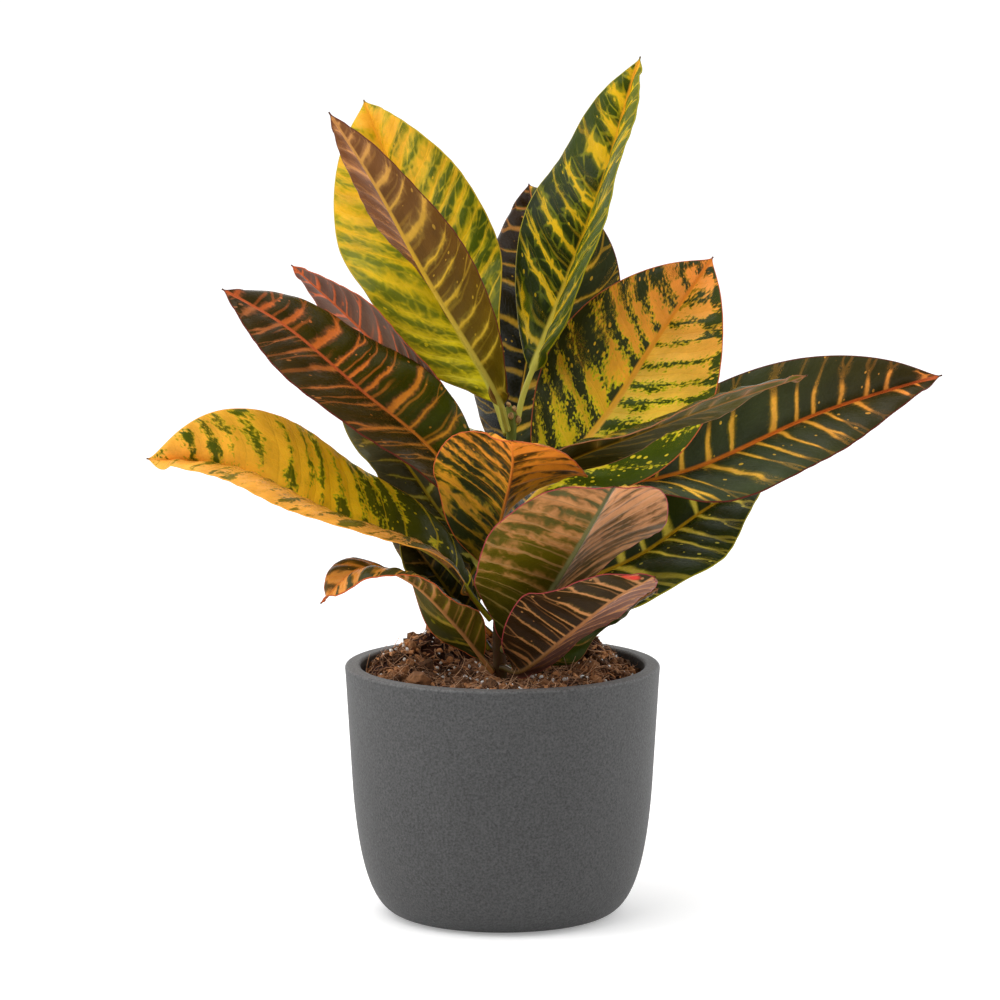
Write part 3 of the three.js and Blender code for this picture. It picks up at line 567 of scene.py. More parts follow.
def leaf_skin():
    """Living croton leaf: a smooth waxy cuticle over cells that hold green, yellow and red pigment. The wax
    gives a broad soft gloss, the pigment lies in ragged bands along the side veins, and the finest veins show
    as a net of cells about 2 mm across."""
    material, shader, node = new_material("Croton leaf, waxy skin", 0.1)
    vein, reach, pattern, finish, edge, extras = (
        node("split", node("attribute", attribute_name=name).outputs["Vector"]).outputs
        for name in LEAF_VALUES)
    phase, out, half = vein
    from_rib, from_rim, under = reach
    wide, ragged, speckle = pattern
    fork, line, spacing = finish
    soft, glow, ends = edge
    dots, net_share, between = extras
    ground, fringe, stain, rib, rim = (
        node("attribute", attribute_name=name).outputs["Color"] for name in LEAF_COLOURS)
    place = node("attribute", attribute_name="place").outputs["Vector"]
    stretched = node("stretch", place, (1.0, 0.75, 1.0))
    # The veins wander by about half a millimetre over every two centimetres
    wander = node("noise", Vector=place, Scale=0.07, Detail=1.0)
    bent = node("ADD", phase, node("open range", wander, 0.3, 0.7, -0.09, 0.09))
    # Each vein has its own random thickness, reach and fork
    key = node("join", node("ROUND", bent), half)
    thick, long, split_own = node("split", node("random", key).outputs["Color"]).outputs
    # v runs from 0 on a vein to 1 halfway to the next; near the margin each vein splits in two
    doubled = node("MULTIPLY", node("PINGPONG", bent, 0.5), 2.0)
    split_at = node("range", split_own, 0.0, 1.0, 0.45, 0.95)
    opened = node("smooth range", out, split_at, node("ADD", split_at, 0.3))
    v = node("ABSOLUTE", node("SUBTRACT", doubled, node("MULTIPLY", opened, fork)))
    # Broken edges of the stain at about 3 mm, drops of colour at under 1 mm
    rough_edge = node("noise", Vector=stretched, Scale=0.27, Detail=1.5, Roughness=0.45, Distortion=0.7)
    drops = node("noise", Vector=place, Scale=0.8, Detail=1.0)
    torn, dotted = (node("open range", noise, 0.3, 0.7, -1.0, 1.0) for noise in (rough_edge, drops))
    width = node("range", thick, 0.0, 1.0, 0.55, 1.45)
    depth = node("SUBTRACT", node("MULTIPLY", wide, width), v)
    stop_at = node("range", long, 0.0, 1.0, 0.35, 0.95)
    stop = node("smooth range", out, stop_at, node("ADD", stop_at, 0.15), 0.0, -1.0)
    for field, amount in ((torn, ragged), (dotted, speckle), (stop, ends)):
        depth = node("MULTIPLY_ADD", field, amount, depth)
    # A coarse net of veinlets, 5 mm across, widens the stain and its fringe along its meshes
    meshes = node("cell edges", Vector=stretched, Scale=0.2, Randomness=1.0)
    meshed = node("MULTIPLY", node("smooth range", meshes, 0.0, 0.16, 0.9, 0.0), net_share)
    depth_net = node("ADD", meshed, depth)
    depth_web = node("MULTIPLY_ADD", meshed, 0.5, depth)
    stained = node("smooth range", depth_web, node("MULTIPLY", soft, -1.0), soft)
    fringed = node("smooth range", depth_net, node("MULTIPLY", glow, -1.0), 0.0)
    # Loose round dots of the fringe's colour, 0.5 to 1 mm across
    grains = node("cells", Vector=place, Scale=0.33, Randomness=1.0)
    grain_size, grain_kept, _ = node("split", grains.outputs["Color"]).outputs
    grain_in = node("SUBTRACT", node("MULTIPLY", grain_size, 0.29), grains.outputs["Distance"])
    grained = node("MULTIPLY", node("range", grain_in, -0.01, 0.03), node("LESS_THAN", grain_kept, dots))
    # The side vein itself: a line whose distance is v times half the spacing, thinner towards the margin
    line_own = node("MULTIPLY", line, node("range", thick, 0.0, 1.0, 0.6, 1.5))
    line_ratio = node("DIVIDE", node("MULTIPLY", v, spacing), line_own)
    lined = node("smooth range", line_ratio, 0.4, 1.2, 0.8, 0.0)
    lined_by = node("MULTIPLY", lined, node("MULTIPLY_ADD", stop, ends, 1.0))
    # One thinner vein between each two, as far out as the gap's own random share
    gap_key = node("join", node("FLOOR", bent), half, 5.0)
    gap_reach, gap_place, _ = node("split", node("random", gap_key).outputs["Color"]).outputs
    aside = node("ADD", node("FRACT", bent), node("range", gap_place, 0.0, 1.0, -0.25, 0.25))
    from_thin = node("ABSOLUTE", node("SUBTRACT", aside, 0.5))
    thin_ratio = node("DIVIDE", node("MULTIPLY", from_thin, spacing), line)
    thin = node("smooth range", thin_ratio, 0.1, 0.55, 1.0, 0.0)
    thin_past = node("SUBTRACT", out, node("MULTIPLY_ADD", gap_reach, 0.9, 0.1))
    thin_end = node("range", thin_past, -0.25, 0.0, 1.0, 0.0)
    thin_by = node("MULTIPLY", node("MULTIPLY", thin, thin_end), between)
    # Layer over layer
    dot_colour, vein_colour = (node("mix", {0: share, 6: first, 7: second}).outputs[2]
                               for share, first, second in ((0.6, fringe, stain), (0.35, stain, rib)))
    skin = ground
    for share, colour in ((fringed, fringe), (grained, dot_colour), (stained, stain), (lined_by, vein_colour),
                          (thin_by, vein_colour)):
        skin = node("mix", {0: share, 6: skin, 7: colour}).outputs[2]
    # Net of the finest veins and soft mottling
    net = node("cell edges", Vector=place, Scale=0.5, Randomness=0.9)
    net_line = node("range", net, 0.0, 0.12, 1.0, 0.0)
    mottle = node("noise", Vector=place, Scale=0.09, Detail=3.0)
    netted = node("MULTIPLY_ADD", net_line, 0.06, node("range", mottle, 0.3, 0.7, 0.8, 1.16))
    skin = node("shade", Value=netted, Color=skin)
    for distance, colour in ((from_rib, rib), (from_rim, rim)):
        near = node("smooth range", distance, 0.6, 1.4, 1.0, 0.0)
        skin = node("mix", {0: near, 6: skin, 7: colour}).outputs[2]
    # Upper side: fine gloss; underside: duller
    dull = node("MULTIPLY_ADD", rough_edge, 0.14, node("range", under, 0.0, 1.0, 0.2, 0.36))
    raised = node("MULTIPLY", lined, node("range", under, 0.0, 1.0, -0.5, 1.0))
    relief = node("MULTIPLY_ADD", drops, 0.25, node("MULTIPLY_ADD", net_line, -0.25, raised))
    bump = node("bump", Strength=0.5, Distance=0.0004, Height=relief)
    fill(shader, {"Base Color": skin, "Roughness": dull, "Normal": bump})
    return material


def fibre_cement(colour):
    """Fibre cement, pressed in a mould and left unglazed: matt and even, with light and dark grit of 0.3 to
    0.6 mm and small pits. Grit this fine is drawn at 0.7 mm so that it shows."""
    material, shader, node = new_material("Fibre cement, moulded", 0.5, IOR=1.5, Roughness=0.62)
    place = node("place").outputs["Object"]
    grit = node("noise", Vector=place, Scale=1000.0, Detail=2.0, Roughness=0.7)
    patches = node("noise", Vector=place, Scale=45.0, Detail=3.0)
    light = node("range", grit, 0.3, 0.7, 0.4, 1.6)
    tone = node("range", patches, 0.3, 0.7, 0.96, 1.05)
    height = node("split", place).outputs[2]
    # Painted highlight: the level top of the rim is painted paler, as if lit from above; painted shade darkens
    # the wall a little towards the foot
    lit_rim_top = node("range", height, 0.1105, 0.1118, 1.0, 2.4)
    foot = node("range", height, 0.0, 0.1, 0.82, 1.0)
    value = node("MULTIPLY", node("MULTIPLY", light, tone), node("MULTIPLY", lit_rim_top, foot))
    skin = node("shade", Value=value, Color=(*colour, 1.0))
    pits = node("cells", Vector=place, Scale=700.0, Randomness=1.0)
    relief = node("MULTIPLY_ADD", node("range", pits, 0.1, 0.35, -1.0, 0.0), 0.6, grit)
    bump = node("bump", Strength=0.5, Distance=0.00025, Height=relief)
    fill(shader, {"Base Color": skin, "Normal": bump})
    return material


def potting_mix(name, dark, light, roughness, grain, relief):
    """Damp peat and bark: matt and crumbly, brown to copper. Each crumb has its own tone, with grain on
    top."""
    material, shader, node = new_material(name, 0.25, Roughness=roughness)
    tone = node("attribute", attribute_name="tone").outputs["Fac"]
    noise = node("noise", Vector=node("place").outputs["Object"], Scale=grain, Detail=4.0, Roughness=0.65)
    share = node("range", node("MULTIPLY_ADD", noise, 0.8, tone), 0.25, 1.3)
    skin = node("mix", {0: share, 6: rgba(dark), 7: rgba(light)}).outputs[2]
    fill(shader, {"Base Color": skin, "Normal": node("bump", Strength=0.8, Distance=relief, Height=noise)})
    return material


def stem_bark():
    """Young croton stem: green skin at the top that turns to grey-brown cork towards the foot, with fine
    cracks along it."""
    material, shader, node = new_material("Croton stem, green to corky", 0.15, Roughness=0.6)
    place = node("place").outputs["Object"]
    cork = node("range", node("split", place).outputs[2], 0.135, 0.222, 0.0, 0.85)
    noise = node("noise", Vector=node("stretch", place, (1.0, 1.0, 0.25)), Scale=900.0, Detail=3.0)
    ramp = node("ramp", node("MULTIPLY_ADD", noise, 0.35, cork))
    stops = ramp.color_ramp.elements
    stops.new(1.0)
    for stop, position, colour in zip(stops, (0.15, 0.6, 1.0), ("4A2E16", "4E5A1C", "66702A")):
        stop.position = position
        stop.color = rgba(colour)
    fill(shader, {"Base Color": ramp, "Normal": node("bump", Strength=0.5, Distance=0.0003, Height=noise)})
    return material


def bud_scales():
    """Young buds: dry tan scales, browner in the folds between them."""
    material, shader, node = new_material("Croton buds, dry scales", 0.15, Roughness=0.6)
    noise = node("noise", Vector=node("place").outputs["Object"], Scale=700.0, Detail=3.0)
    light = node("range", noise, 0.35, 0.65)
    skin = node("mix", {0: light, 6: rgba("5C3E1E"), 7: rgba("C09A62")}).outputs[2]
    fill(shader, {"Base Color": skin, "Normal": node("bump", Strength=0.6, Distance=0.0003, Height=noise)})
    return material


# Shapes

def stalk_start(height, toward):
    """Where a stalk leaves the stem: on its skin at that height, on the side that the leaf grows to, clear of
    it by CLEARANCE and by what the tilt of the stalk adds."""
    centre, radius = (value[0] for value in stem_at(height))
    outward = unit((toward - centre) * (1, 1, 0))
    start = centre + outward * (radius + CLEARANCE)
    for _ in range(4):
        cosine = unit(toward - start) @ outward
        start = centre + outward * (radius + CLEARANCE + STALK_RADIUS * math.sqrt(max(0, 1 - cosine ** 2)))
    return start


def along_leaf(share, values):
    """A column of values at shares of the length, read between those for base, middle and tip, or the one for
    all."""
    values = np.atleast_1d(values)
    return np.interp(share, np.linspace(0, 1, len(values)), values)[:, None]


def blend(first, second, share):
    """Colours between first, where share is 0, and second, where it is 1."""
    return first * (1 - share) + second * share


def blade_columns(w, radius):
    """Share of the way to the margin at each column, and the half that it is on, for rows of half width w.
    The first few columns lie within the rib's radius, the rest go to the margin, the last but one just
    inside."""
    near = np.minimum(RIB_SHARE, radius / w)
    inner = near * np.linspace(0, 1, RIB_COLUMNS + 1)
    outer = near + (1 - near) * (np.arange(1, BLADE_COLUMNS + 1) / BLADE_COLUMNS)
    k = np.concatenate([inner, outer], axis=1)
    k[:, -2:-1] = 1 - np.minimum(MARGIN_STRIP / w, 0.5 * (1 - k[:, -3:-2]))
    k = np.concatenate([k[:, :0:-1], k], axis=1)
    return k, np.where(np.arange(k.shape[1]) < RIB_COLUMNS + BLADE_COLUMNS, -1, 1)[None, :]


def vein_phase(look, index, run, k, w, side):
    """Where each point's side vein leaves the rib, in vein spacings. run is the way along the blade. A vein
    leans by its slope, bends on as k cubed and wobbles by two sine waves; the halves are 0.4 spacings apart."""
    lean = np.where(side > 0, *np.broadcast_to(look["slope"], 2))
    root = run[:, None] - k * w * lean - 0.22 * w * k ** 3
    shift = np.where(side > 0, 0.4, 0.0) * (k > 0)
    wobble = 0.24 * np.sin(root / 14.1 + index * 1.7 + side) + 0.15 * np.sin(root / 6.3 + index * 2.9 - side)
    return root / look["spacing"] + shift + wobble


def two_sided(rows, columns):
    """Faces of two grids that are stored one after the other: they look away from each other and are joined
    all round."""
    other = rows * columns
    skin = grid_faces(rows, columns)
    left = np.arange(rows - 1) * columns
    right = left + columns - 1
    base = np.arange(columns - 1)
    tip = (rows - 1) * columns + base
    walls = (
        (left, left + columns, other + left + columns, other + left),
        (right, other + right, other + right + columns, right + columns),
        (base, other + base, other + base + 1, base + 1),
        (tip, tip + 1, other + tip + 1, other + tip))
    return [np.concatenate([skin, skin[:, ::-1] + other] + [np.stack(wall, axis=1) for wall in walls])]


def leaf_values(look, index, upper, share, length, k, w, side, phase):
    """What leaf_skin() reads at each point of both grids: where the point lies among the veins, how strong
    each marking is there, and the colours. The side that the viewer sees has those of the look, the other one
    is tinted."""
    d = k * w
    left_wide = look["wide"] if look["left"] is None else look["left"]
    wide = np.where(side > 0, along_leaf(share, look["wide"]), along_leaf(share, left_wide))
    wide = wide * (1 + 0.7 * look["taper"] - 1.7 * look["taper"] * k)
    flat_place = np.stack([phase * look["spacing"], side * d, 0 * d + index * 41.0], axis=-1)
    wide = wide + look["patchy"] * ripples(flat_place, 15, 70 + index, 9)
    wide = wide - look["loose"] * (1 - ease(d, 1.5, 6)) * (side < 0) * ease(share, 0.9, 0.5)[:, None]
    vectors = {
        "vein": (phase, k, index * 3.7 + np.where(side > 0, 1.3, 0)),
        "pattern": (wide, look["ragged"], look["speckle"]),
        "finish": (look["fork"], look["line"] * (1.1 - 0.5 * k), look["spacing"] / 2),
        "edge": (look["soft"], look["glow"], look["ends"]),
        "extras": (look["dots"], look["net"], look["between"]),
    }
    from_rim = np.where(share[:, None] < 0.02, 99, (w - d) / RIM_WIDTH)
    dry = ease(share, 0.985, 1.0)[:, None, None]
    values = {key: [] for key in (*LEAF_VALUES, *LEAF_COLOURS, "place")}
    for is_first in (True, False):
        vectors["reach"] = (d / along_leaf(share, look["band"]), from_rim, float((upper > 0) != is_first))
        for key, parts in vectors.items():
            values[key].append(np.stack([0 * d + part for part in parts], axis=-1))
        values["place"].append(flat_place)
        colour = {}
        for key in LEAF_COLOURS:
            # A slash gives the left half its own colours: partly its own pigment, partly painted sheen and
            # shade
            halves = []
            for names in look[key].split(" / "):
                channels = np.transpose([linear(PIGMENTS[pigment]) for pigment in names.split()])
                halves.append(np.stack([along_leaf(share, channel) for channel in channels], axis=-1))
            colour[key] = np.where(side[..., None] > 0, halves[0], halves[-1])
        if look["spot"]:
            spot_share, spot_k, spot_side, spot_radius, spot_pigment = look["spot"]
            off = np.hypot((share[:, None] - spot_share) * length, (k - spot_k) * w)
            blot = ((side == spot_side) * (1 - ease(off, 0.6 * spot_radius, spot_radius)))[..., None]
            for key in ("ground", "fringe", "stain"):
                colour[key] = blend(colour[key], linear(PIGMENTS[spot_pigment]), blot)
        if is_first != ((look["seen"] == "upper") == (upper > 0)):
            for key, pigment, amount in UNSEEN_TINTS[look["seen"]]:
                colour[key] = blend(colour[key], linear(PIGMENTS[pigment]), amount)
        # A dry brown point at the tip
        for key, seen in colour.items():
            dried = blend(seen, linear(DRY_TIP), dry)
            values[key].append(np.concatenate([dried, np.ones(k.shape + (1,))], axis=-1))
    return {key: np.concatenate([part.reshape(-1, part.shape[-1]) for part in value])
            for key, value in values.items()}


def leaf_surface(name, index, thickness, quilting):
    """Points, faces and vertex values of one leaf.

    The midrib is the smooth curve through the stalk's start and the four rib points. At a share x of the
    blade's length its half width is width times x^a (1 - x)^b over that product's peak. Each half is turned
    by its fold about the midrib. The surface is lifted by a bulge BULGE w k (1 - k), where k runs from 0 on
    the rib to 1 on the margin, by waves that grow with k squared, and by a small pillow between each two side
    veins. Two such grids, a blade's thickness apart, are joined round the margin; at the rib they stand off
    by the round of the rib."""
    height, rib_points, width, (opens, closes), bare, fold_left, fold_right, faces_way, upper = LEAVES[name]
    look = PLAIN_LOOK | LOOKS[name]
    rib_points = np.array(rib_points, float)
    line = [stalk_start(height, rib_points[0]), *rib_points]
    length = along_curve(line, [0, 1])[2]
    bare = bare / length
    step = np.linspace(0, 1, BLADE_ROWS + 1)
    crowded = step - END_CROWDING * np.sin(2 * np.pi * step) / (2 * np.pi)
    places = np.concatenate([bare * np.arange(STALK_ROWS) / STALK_ROWS, bare + (1 - bare) * crowded])
    rib, along, _ = along_curve(line, places)
    share = np.clip((places - bare) / (1 - bare), 0, 1)
    across = unit(np.cross(along, faces_way))
    front = np.cross(across, along)
    widest = opens / (opens + closes)
    peak = widest ** opens * (1 - widest) ** closes
    radius = (STALK_RADIUS * (1 - RIB_TAPER * places))[:, None]
    point = 1 - np.exp((share - 1) / TIP_POINT)
    w = np.maximum((width * share ** opens * (1 - share) ** closes / peak * point)[:, None], radius)
    fade = np.minimum(1, np.minimum(share, 1 - share) / FLAT_END)
    station = np.clip((share - FOLD_STATIONS[0]) / (FOLD_STATIONS[1] - FOLD_STATIONS[0]), 0, 1) * 3
    left_fold, right_fold = (
        (np.radians(spline(fold, station)) * fade)[:, None] for fold in (fold_left, fold_right))
    k, side = blade_columns(w, radius)
    d = k * w
    turn = np.where(side < 0, left_fold, right_fold)
    share2 = np.broadcast_to(share[:, None], k.shape)
    phase = vein_phase(look, index, share * length * (1 - bare), k, w, side)

    # Directions square to the blade, blended over the rib, and the lift along them
    sine, cosine = np.sin(turn)[..., None], np.cos(turn)[..., None]
    square = -side[..., None] * sine * across[:, None] + cosine * front[:, None]
    middle = (np.sin(left_fold) * across + np.cos(left_fold) * front
              - np.sin(right_fold) * across + np.cos(right_fold) * front)
    square = unit(blend(unit(middle)[:, None], square, ease(d, 0.0, 1.0)[..., None]))
    wave_phase = index * WAVE_SHIFT + np.where(side < 0, OTHER_SIDE_SHIFT, 0)
    wave = WAVE_HEIGHT * np.sin(2 * np.pi * (WAVES * share2 + wave_phase)) * k * k * np.minimum(1, w / width)
    room = ease(d, radius, radius + 4) * ease(w - d, 0, 3) * np.minimum(1, w / 12)
    pillow = quilting * (0.5 - 0.5 * np.cos(2 * np.pi * phase)) * room
    crinkle = CRINKLE * np.sin(2 * np.pi * phase + 1) * k ** 4 * np.minimum(1, w / 15)
    lift = wave + crinkle + upper * (BULGE * w * k * (1 - k) + pillow)
    surface = (rib[:, None] + across[:, None] * (side * np.cos(turn) * d)[..., None]
               + front[:, None] * (np.sin(turn) * d)[..., None] + square * lift[..., None])

    # The rib is fully round below and on the stalk, and a low ridge on the upper side of the blade
    stalk = 1 - ease(share2, 0, 0.08)
    foot = 1 + 0.35 * (1 - ease(places, 0, bare * 0.35))[:, None]
    round_part = np.sqrt(np.maximum(radius ** 2 - np.minimum(d, radius) ** 2, 0))
    blade = thickness / 2 * (1 - 0.6 * ease(k, 1 - 0.6 / w, 1))
    from_vein = (phase - np.round(phase)) * look["spacing"]
    vein_line = np.exp(-(from_vein / 0.7) ** 2) * room * (1 - 0.6 * k)
    swell = (foot - 1) * round_part * stalk
    low = np.maximum(blade, round_part) + VEIN_RELIEF * vein_line + swell
    high = np.maximum(blade, round_part * (0.3 + 0.7 * stalk)) + swell
    over, under = (high, low) if upper > 0 else (low, high)
    points = np.concatenate([(surface + square * over[..., None]).reshape(-1, 3),
                             (surface - square * under[..., None]).reshape(-1, 3)]) + (0, 0, SOIL_LEVEL)
    values = leaf_values(look, index, upper, share, length * (1 - bare), k, w, side, phase)
    return points, two_sided(*k.shape), values


def repeated(faces, count, size):
    """Faces for that many copies of a form of size points."""
    offset = (np.arange(count) * size)[:, None, None]
    return [(f[None] + offset).reshape(-1, f.shape[1]) for f in faces]


def scatter(template, places, sizes, seed, lie=1.0):
    """Copies of a small form, given as points and faces: each is stretched by its sizes, turned by random
    angles and put at its place. lie under 1 keeps the copies closer to level."""
    form, form_faces = template
    random = np.random.default_rng(seed)
    count = len(places)
    yaw = random.uniform(0, 2 * np.pi, count)
    pitch, roll = (random.normal(0, 1.2, count) * lie for _ in range(2))
    (cy, cp, cr), (sy, sp, sr) = (way([yaw, pitch, roll]) for way in (np.cos, np.sin))
    turn = np.stack([
        np.stack([cy * cp, cy * sp * sr - sy * cr, cy * sp * cr + sy * sr], axis=-1),
        np.stack([sy * cp, sy * sp * sr + cy * cr, sy * sp * cr - cy * sr], axis=-1),
        np.stack([-sp, cp * sr, cp * cr], axis=-1)], axis=1)
    points = np.einsum("nij,nvj->nvi", turn, form[None] * sizes[:, None]) + places[:, None]
    return points.reshape(-1, 3), repeated(form_faces, count, len(form))


def lump(rows, sides, roughness, seed):
    """A closed lump of radius 1: a ball whose radius is moved by ripples."""
    angle = np.linspace(0.18, np.pi - 0.18, rows)
    points, faces = ring_skin(turned(np.stack([np.sin(angle), -np.cos(angle)], axis=-1), sides))
    return points * (1 + roughness * ripples(points, 1.3, seed))[:, None], faces


def on_soil(count, seed, reach):
    """Random places on the soil, evenly over the disc of that radius and clear of the stem, and their
    generator."""
    random = np.random.default_rng(seed)
    distance = np.sqrt(random.uniform((STEM_CLEAR / reach) ** 2, 1, count)) * reach
    angle = random.uniform(0, 2 * np.pi, count)
    x, y = distance * np.cos(angle), distance * np.sin(angle)
    return np.stack([x, y, soil_top(x, y)], axis=-1), random


def strew(name, material, template, places, sizes, seed, tones, lie=1.0, smooth=False):
    """A piece of loose bits: a copy of the template at each place, with its own tone."""
    points, faces = scatter(template, places, sizes, seed, lie)
    piece(name, points, faces, material, None, {"tone": np.repeat(tones, len(template[0]))}, smooth)


def strands(paths, radii):
    """Three-sided strands along many paths at once: at each point of a path stand three points round it, in
    the plane of two directions square to the path's run; a point closes each end."""
    ahead = unit(np.gradient(paths, axis=1))
    beside = unit(np.cross(ahead, (0.03, 0.02, 1.0)))
    above = np.cross(beside, ahead)
    angle = 2 * np.pi * np.arange(3) / 3
    taper = (1 - 0.5 * np.linspace(0, 1, paths.shape[1]) ** 2)[None, :, None, None]
    ring = (beside[:, :, None] * np.cos(angle)[:, None] + above[:, :, None] * np.sin(angle)[:, None])
    rings = paths[:, :, None] + ring * radii[:, None, None, None] * taper
    points = np.concatenate([rings.reshape(len(paths), -1, 3), paths[:, :1], paths[:, -1:]], axis=1)
    faces = [f[:, ::-1] for f in ring_skin(rings[0])[1]]
    return points.reshape(-1, 3), repeated(faces, len(paths), points.shape[1])


# Settings, operators and panel

class CrotonPotSettings(bpy.types.PropertyGroup):
    colour: bpy.props.FloatVectorProperty(
        name="Pot colour", description="Colour of the fibre cement", subtype="COLOR", min=0, max=1,
        default=tuple(linear("3B3B3B")))
    sides: bpy.props.IntProperty(
        name="Pot sides", description="Number of facets round the pot", default=160, min=24, max=400)


class CrotonSoilSettings(bpy.types.PropertyGroup):
    crumbs: bpy.props.IntProperty(
        name="Crumbs", description="Number of crumbs of peat and bark on the soil", default=1500, min=1)
    fibres: bpy.props.IntProperty(
        name="Coir fibres", description="Number of loose fibres on the soil", default=850, min=1)
    perlite: bpy.props.IntProperty(
        name="Perlite grains", description="Number of white grains in the soil", default=150, min=1)


class CrotonLeafSettings(bpy.types.PropertyGroup):
    thickness: bpy.props.FloatProperty(
        name="Blade thickness", description="Thickness of a leaf blade", default=0.6 * MM, min=0.2 * MM,
        unit="LENGTH")
    quilting: bpy.props.FloatProperty(
        name="Quilting", description="Height of the pillows between the side veins", default=0.9 * MM, min=0,
        unit="LENGTH")


class CrotonStageSettings(bpy.types.PropertyGroup):
    sky: bpy.props.FloatProperty(
        name="Room light", description="Strength of the light from all round", default=1.0, min=0)
    lamp: bpy.props.FloatProperty(
        name="Softbox power", description="Power of the large softbox over the plant, in watts", default=15,
        min=0, subtype="POWER")
    floor: bpy.props.FloatVectorProperty(
        name="Floor colour", description="Colour of the stage floor", subtype="COLOR", min=0, max=1,
        default=(0.9, 0.9, 0.9))


class CROTON_OT_pot(bpy.types.Operator):
    """Builds the round pot: its outer and inner line turned about the upright axis"""
    bl_idname = "croton.pot"
    bl_label = "Pot"

    def execute(self, context):
        settings = context.scene.croton_pot
        inside = RIM_RADIUS - WALL
        quarter = np.linspace(0, np.pi / 2, 7)[:, None]
        top = POT_HEIGHT - RIM_ROUNDING
        outer_edge = np.concatenate([RIM_RADIUS - RIM_ROUNDING + RIM_ROUNDING * np.cos(quarter),
                                     top + RIM_ROUNDING * np.sin(quarter)], axis=1)
        inner_edge = np.concatenate([inside + RIM_ROUNDING - RIM_ROUNDING * np.cos(quarter),
                                     top + RIM_ROUNDING * np.sin(quarter)], axis=1)[::-1]
        outer = bend((FOOT_RADIUS, 0), (57, 0), (64, 18), (BELLY_RADIUS, BELLY_HEIGHT), 44)
        foot = FOOT_RADIUS - WALL
        inner = bend((foot, FLOOR), (51, FLOOR), (57, 24), (BELLY_RADIUS - WALL, BELLY_HEIGHT), 24)
        straight = np.linspace(BELLY_HEIGHT, top, 14)[1:-1]
        wall = np.stack([wall_radius(straight), straight], axis=-1)
        shelf = np.linspace(RIM_RADIUS - RIM_ROUNDING, inside + RIM_ROUNDING, 5)[1:-1]
        profile = np.concatenate([
            [(FOOT_RADIUS * share, 0.0) for share in (0.3, 0.7, 0.97)], outer, wall, outer_edge,
            np.stack([shelf, POT_HEIGHT + 0 * shelf], axis=-1), inner_edge,
            wall[::-1] - (WALL, 0), inner[::-1], [(foot * share, FLOOR) for share in (0.7, 0.3)]])
        points, faces = ring_skin(turned(profile, settings.sides))
        piece("pot_body", points, faces, fibre_cement(settings.colour), "pot")
        return {"FINISHED"}


